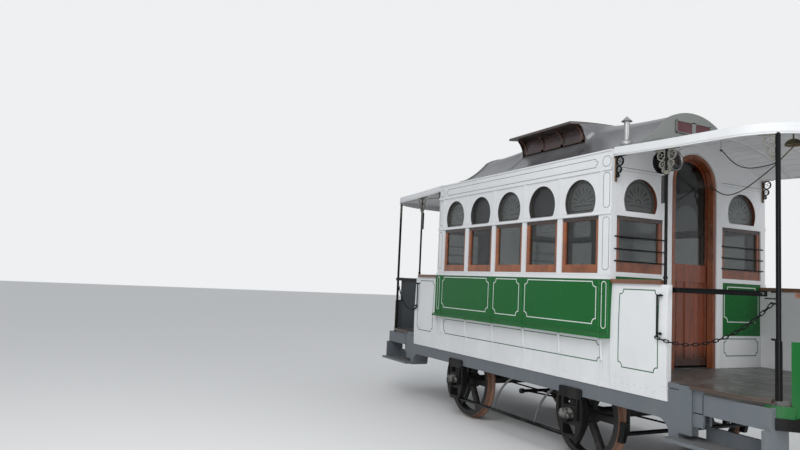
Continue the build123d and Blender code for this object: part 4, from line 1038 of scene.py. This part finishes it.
planks_paint, tree, shader = material("grey_planks")
place, x, y, z = where(tree)
rows = use(tree, boarding, Across=y, Width=0.095, Gap=0.004)
scuff = noise(place, 6.0, 6.0, Roughness=0.65)
long = add(tree, "Mapping", {"Vector": place, "Scale": (3.0, 40.0, 40.0)}).outputs[0]
streaks = noise(long, 1.0, 4.0)
tint = mix(rows["Tone"], (0.058, 0.057, 0.054, 1), (0.082, 0.081, 0.076, 1))
tint = mix(remap(scuff, 0.52, 0.68, 0.0, 0.6), tint, (0.135, 0.130, 0.118, 1))
tint = mix(remap(streaks, 0.5, 0.75, 0.0, 0.5), tint, (0.036, 0.034, 0.031, 1))
tint = mix(times(rows["Groove"], 0.8), tint, (0.02, 0.02, 0.02, 1))
relief = minus(scuff, rows["Groove"])
surface(shader, tint, remap(scuff, 0.35, 0.65, 0.24, 0.48), relief, 0.0015)
dress(planks_paint, "platform_floor_front", "platform_floor_rear", "saloon_floor")
nosing_wood = wooden("nosing_wood", (0.070, 0.048, 0.036, 1), (0.028, 0.020, 0.016, 1), (3.0, 30.0, 30.0), coat=0.1)
nosing_z = 0.860
recut(
    "platform_nosings", (), lambda spot: Vector((spot.x, spot.y, max(spot.z, nosing_z))),
    nosing_wood, "varnished_wood")
boards = ([], [])
# columns: ends along the car, across it, and upright
knee_boards = (
    ((2.137, 2.252), (0.945, 0.965), (0.530, 0.878)), ((2.040, 2.242), (0.945, 0.9645), (0.842, 0.878)),
    ((2.250, 2.336), (0.923, 0.948), (0.693, 0.864)), ((2.250, 2.336), (0.926, 0.948), (0.600, 0.700)))
for sx, sy in quarters:
    for (x0, x1), (y0, y1), (z0, z1) in knee_boards:
        slat(boards, (sx * x0, sy * y0, z0), (sx * x1, sy * y1, z1))
piece("step_knee_boards", *boards, grey, slot="grey_paint")

# Dashes: curved sheet metal under a wooden rail, gloss green outside with a white outline
# notched at its corners, and plain grey inside.
dash_mid_x = 2.30


def inward(x, y, z):
    """Mask of the inner face of a dash."""
    faced = facing(x)
    forward = times(calc("SIGN", x), faced["X"], minus(absolute(x), dash_mid_x))
    return remap(plus(forward, times(y, faced["Y"])), -0.25, -0.35)


dash_paint = painted("dash_paint", *green_tones, chips=0.35, dust=0.25, grime=0.12, gloss=0.20, **green_coat)
tinted(dash_paint, inward, (0.085, 0.100, 0.108, 1))
dress(dash_paint, "dash_front", "dash_rear")


def on_dash(tree, sx):
    """Places (run, z) on the outside of a dash, where run follows the curve from its middle."""
    def at(run, z):
        way = Vector((sx * math.cos(run / 0.75), math.sin(run / 0.75), 0))
        return struck(tree, Vector((sx * dash_mid_x, 0, z)) + way * 2.0, -way)
    return at


parts = ([], [])
for end, sx in ends:
    line_on(parts, notched(-0.618, 0.618, 0.870, 1.495), on_dash(wall("dash_" + end), sx), 0.010, gap=0.02)
piece("dash_outlines", *parts, white_line, slot="white_paint")

# Ironwork: black enamelled posts, gates, rods, chains and bumpers. The scroll brackets at
# the heads of the posts are painted a pale stone colour.
enamel = ((0.0035, 0.0035, 0.004, 1), (0.06, 0.055, 0.05, 1), (0.05, 0.047, 0.042, 1))
iron_look = dict(chips=0.3, dust=0.25, grime=0.10, gloss=0.22, rounding=0.002, Specular_IOR_Level=0.15)
iron = painted("black_iron", *enamel, **iron_look)
post_iron = painted("post_iron", *enamel, **iron_look)
post_a, post_b = (1.998, 0.955), (2.828, 0.8553)


def bracket(x, y, z):
    """Mask of the scroll brackets, off the posts that carry them."""
    mask = times(remap(z, 2.44, 2.45), remap(absolute(x), 1.70, 1.71))
    for (post_x, post_y), reach in ((post_a, 0.0135), (post_b, 0.0175)):
        gone = minus(absolute(x), post_x)
        away = distance(gone, minus(absolute(y), post_y))
        mask = times(mask, remap(away, reach, reach + 0.001))
    return mask


tinted(post_iron, bracket, (0.155, 0.150, 0.130, 1))
dress(post_iron, "posts_front", "posts_rear")
dress(iron, *(f"gate_{end}_{hand}" for end, sx in ends for hand, sy in hands))
dress(iron, "guard_rods", "bumpers", "door_tracks", "brake_gear", "lamps")

chain_run = ((1.958, -1.008, 1.203), (2.792, -0.8683, 1.500))
slack = 0.650
hook_in, slip, room = 0.0043, 0.0008, 0.0036
(ax, ay, az), (bx, by, bz) = chain_run
run, rise = bx - ax, bz - az
low_x = (ax + bx) / 2 - slack * math.asinh(rise / (2 * slack * math.sinh(run / (2 * slack))))
s_a, s_b = (slack * math.sinh((x - low_x) / slack) for x in (ax, bx))
low_z = az - slack * (math.cosh((ax - low_x) / slack) - 1)
link_n = 25
link_step = (s_b - s_a + slip + 2 * hook_in) / link_n
link_bend, link_wire = 0.0100, 0.0038
links = ([], [])
for sx, sy in quarters:
    for i in range(link_n):
        s = s_a - hook_in + link_step / 2 - slip / 2 + link_step * i
        x = low_x + slack * math.asinh(s / slack)
        z = low_z + slack * (math.cosh((x - low_x) / slack) - 1)
        centre = Vector((sx * x, -sy * (ay + (by - ay) * (x - ax) / run), z))
        way = Vector((sx * run, -sy * (by - ay), 0)).normalized() + Vector((0, 0, math.sinh((x - low_x) / slack)))
        way.normalize()
        flat = Vector((-way.y, way.x, 0)).normalized()
        across = flat if i % 2 else way.cross(flat)
        straight = link_step / 2 + room - link_bend
        path = [
            centre + way * (math.copysign(straight, c) + link_bend * c) + across * (link_bend * s)
            for c, s in circle(14)]
        tube(links, path, link_wire, closed=True)
chains = piece("chain_links", *links, iron, slot="black_iron", smooth=True)
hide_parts("entrance_chains")


def ball(parts, centre, radius):
    """Adds a small ball to parts."""
    shell(parts, [
        [centre + Vector((math.cos(a), math.sin(a) * c, math.sin(a) * s)) * radius for c, s in circle(10)]
        for a in (math.pi * (j + 0.5) / 6 for j in range(6))])


arms = ([], [])
grab_x, arm_x, arm_y = 1.958, 1.990, 0.996
grab_r, arm_r, ball_r = 0.0065, 0.0055, 0.0115
for end, sx in ends:
    for sy in (-1, 1):
        at = on_side(wall("platform_sides_" + end), sy, sx)
        for z in (1.232, 1.520):
            elbow = Vector((sx * arm_x, sy * arm_y, z))
            tube(arms, [Vector((sx * grab_x, sy * arm_y, z)), elbow], grab_r, sides=8)
            tube(arms, [elbow, at(arm_x, z)[0]], arm_r, sides=8)
            ball(arms, elbow, ball_r)
piece("grab_handle_arms", *arms, iron, slot="black_iron", smooth=True)

gate_y, gate_z, gate_half = 0.905, 1.5635, 0.0065
for end, sx in ends:
    for hand, sy in hands:
        bar = ([], [])
        # columns: place along the bar, half height
        shell(bar, [
            [(sx * x, sy * gate_y + gate_half * c, gate_z + half * s) for c, s in circle(12)]
            for x, half in ((2.022, 0.005), (2.034, 0.010), (2.730, 0.008), (2.748, 0.005))])
        piece(f"gate_bar_{end}_{hand}", *bar, iron, body=f"gate_{end}_{hand}", slot="black_iron", smooth=True)

pale_iron = painted(
    "pale_iron", (0.20, 0.19, 0.17, 1), (0.10, 0.09, 0.08, 1), (0.15, 0.14, 0.12, 1),
    chips=0.4, dust=0.2, grime=0.0, gloss=0.4, rounding=0.0)
bracket_h, scroll_r = 0.2, 0.0024


def spiral(cx, cz, cr, hand):
    """Points (out, down) of a scroll, with its middle and radius as shares of the bracket's height."""
    path = []
    for k in range(13):
        a = hand * (0.8 + 5.6 * k / 12)
        r = cr * (0.95 - 0.70 * k / 12) * 0.55
        path.append((bracket_h * (cx + r * math.cos(a) + hand * cr * 0.36), bracket_h * (r * math.sin(a) - cz)))
    return path


scrolls, pale_scrolls, strips = ([], []), ([], []), ([], [])
for sx, sy in quarters:
    slat(strips, (sx * 1.458, sy * 0.945, 2.460), (sx * 1.472, sy * 0.965, 2.662))
    # columns: mesh, place of the bracket and height of its head, way out in plan
    for parts, (x, y), z, (out_x, out_y) in (
        (pale_scrolls, post_a, 2.656, (1, 0)), (pale_scrolls, post_a, 2.656, (-1, 0)),
        (scrolls, (1.4602, 0.955), 2.678, (1, 0)), (pale_scrolls, post_b, 2.640, (-0.905, 0.425)),
    ):
        # columns: way out and down, radius
        for scroll in ((0.25, 0.25, 0.19), (0.20, 0.60, 0.145), (0.13, 0.84, 0.085)):
            for hand in (-1, 1):
                path = [(x + out_x * out, y + out_y * out, z + up) for out, up in spiral(*scroll, hand)]
                tube(parts, [Vector((sx * u, sy * v, w)) for u, v, w in path], scroll_r, sides=5)
piece("bracket_scrolls", *scrolls, iron, slot="black_iron", smooth=True)
piece("canopy_scrolls", *pale_scrolls, pale_iron, slot="black_iron", smooth=True)
strip_wood = wooden("strip_wood", (0.130, 0.075, 0.035, 1), (0.060, 0.032, 0.016, 1), (14.0, 14.0, 5.0), coat=0.2)
piece("corner_strips", *strips, strip_wood, slot="varnished_wood")

# Axle guards: black castings whose bearing covers are rubbed down to bright grey, bolted to
# the sills through their top plates.
axle_x, axle_z = 0.98, 0.43
guard_iron = painted(
    "guard_iron", *enamel, chips=0.4, dust=0.5, grime=0.4, gloss=0.34, depth=0.0008, Specular_IOR_Level=0.15)


def rubbed(x, y, z):
    """Mask of the worn faces of the bearing covers."""
    radius = distance(minus(absolute(x), axle_x), minus(z, axle_z))
    rubs = noise(where(home(x))[0], 30.0, 5.0)
    cover = times(remap(radius, 0.066, 0.062), remap(absolute(y), 0.982, 0.990))
    return times(cover, remap(rubs, 0.42, 0.58, 0.15, 1.0), remap(z, 0.405, 0.440))


tinted(guard_iron, rubbed, (0.17, 0.17, 0.16, 1))
dress(guard_iron, "axle_guards_right", "axle_guards_left")
bolts, stays, rods = ([], []), ([], []), ([], [])
stay_y, stay_r, sleeve_r, rod_z, rod_half = 0.947, 0.011, 0.0175, 0.240, 0.870
plate_bolt, cover_bolt, bolt_ring = (0.013, 0.009), (0.006, 0.005), 0.053
for hand, sy in hands:
    at = on_side(wall("axle_guards_" + hand), sy)
    for x in (-axle_x, axle_x):
        for shift in (-0.118, 0.118):
            for z in (0.590, 0.652):
                dome(bolts, at, x + shift, z, *plate_bolt, sides=6)
        for sine, cosine in bearings(30, 390, 60):
            dome(bolts, at, x + bolt_ring * cosine, axle_z + bolt_ring * sine, *cover_bolt, sides=6)
    for bow in (
        ((-0.230, rod_z), (-0.116, 0.450), (0.105, 0.621)), ((0.455, rod_z), (0.581, 0.492), (0.735, 0.621)),
    ):
        tube(stays, [Vector((-sy * x, sy * stay_y, z)) for x, z in arc(*bow, 12)], stay_r, sides=8)
    tube(rods, [Vector((x, sy * stay_y, rod_z)) for x in (-rod_half, rod_half)], sleeve_r, sides=10)
piece("guard_bolts", *bolts, iron, slot="black_iron")
stay_paint = painted(
    "stay_paint", (0.095, 0.100, 0.105, 1), (0.06, 0.05, 0.045, 1), (0.10, 0.09, 0.08, 1),
    chips=0.6, dust=0.4, grime=0.2, gloss=0.4, rounding=0.0)
piece("guard_stays", *stays, stay_paint, slot="grey_paint", smooth=True)
piece("tie_rod_sleeves", *rods, iron, slot="black_iron", smooth=True)

# Gongs: dull bronze bells under the canopies with their striker arms, and the white painted
# hook in the ceiling that holds one cord.
brass = mottled(
    "brass", 22.0, 5.0, ((0.075, 0.065, 0.040, 1), (0.200, 0.165, 0.085, 1)), (0.3, 0.7, 0.5, 0.28), 0.0004,
    spread=(0.35, 0.7), Metallic=0.75)


def ceiling_hook(x, y, z):
    """Mask of the painted hooks."""
    return times(remap(absolute(x), 1.72, 1.70), remap(z, 2.842, 2.846))


tinted(brass, ceiling_hook, (0.55, 0.55, 0.54, 1))
dress(brass, "gongs")

# Lamps: a round black case under the canopy with a bright bezel, a clear bulging front and
# a red lens inside.
bezel_metal = mottled(
    "bezel_metal", 30.0, 4.0, ((0.16, 0.16, 0.16, 1), (0.38, 0.38, 0.37, 1)), (0.3, 0.7, 0.3, 0.45), 0.0003,
    Metallic=0.9)
lens_glass = mottled(
    "red_lens", 18.0, 2.0, ((0.16, 0.008, 0.012, 1), (0.28, 0.014, 0.018, 1)), (0.3, 0.7, 0.10, 0.2), 0.001,
    IOR=1.5, Coat_Weight=0.6, Coat_Roughness=0.05)


def turned(parts, middle, sx, profile, sides=28):
    """Adds a round piece about an axis along the car, from its (along, radius) profile, closed on itself."""
    verts, faces = parts
    base, n = len(verts), len(profile)
    for i, (c, s) in enumerate(circle(sides)):
        verts.extend((middle[0] + sx * u, middle[1] + r * c, middle[2] + r * s) for u, r in profile)
        for k in range(n - 1):
            a, b = base + i * n + k, base + (i + 1) % sides * n + k
            faces.append((a, a + 1, b + 1, b))


# columns of the three profiles: way along from the lamp's middle, radius
bezel_line = [
    (0.066, 0.0), (0.074, 0.0005), (0.074, 0.070), (0.084, 0.071), (0.086, 0.076), (0.084, 0.082),
    (0.068, 0.0835), (0.066, 0.082), (0.066, 0.0)]
front_line = [
    (0.0755, 0.0005), (0.0755, 0.0705), (0.079, 0.0700), (0.084, 0.052), (0.088, 0.028), (0.0895, 0.0005)]
lens_line = [(0.0742, 0.0005), (0.0742, 0.046), (0.0752, 0.046), (0.0754, 0.0005)]
bezels, fronts, reds = ([], []), ([], []), ([], [])
lamp_x, lamp_y, lamp_z = 1.900, 0.840, 2.580
for sx in (-1, 1):
    for parts, profile in ((bezels, bezel_line), (fronts, front_line), (reds, lens_line)):
        turned(parts, (sx * lamp_x, -sx * lamp_y, lamp_z), sx, profile)
piece("lamp_bezels", *bezels, bezel_metal, slot="black_iron", smooth=True)
glass = piece("lamp_fronts", *fronts, clear_glass, slot="clear_glass", smooth=True)
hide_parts("lamp_glasses")
piece("lamp_lenses", *reds, lens_glass, slot="clear_glass", smooth=True)

# Wheelsets: cast spoked wheels painted black, with the treads and flanges worn to a bright
# brown rust by the rails.
for end, sx in ends:
    cast, tree, shader = material("cast_wheelset_" + end)
    place, x, y, z = where(tree)
    radius = distance(minus(x, sx * axle_x), minus(z, axle_z))
    scale = noise(place, 28.0, 6.0, Roughness=0.65)
    rust = mix(scale, (0.105, 0.050, 0.030, 1), (0.250, 0.130, 0.085, 1))
    black = mix(remap(scale, 0.5, 0.7), (0.007, 0.0065, 0.006, 1), (0.030, 0.024, 0.020, 1))
    color = mix(remap(radius, 0.4005, 0.4035), black, rust)
    surface(shader, color, remap(scale, 0.3, 0.7, 0.45, 0.7), scale, 0.0015, 0.004)
    dress(cast, "wheelset_" + end)
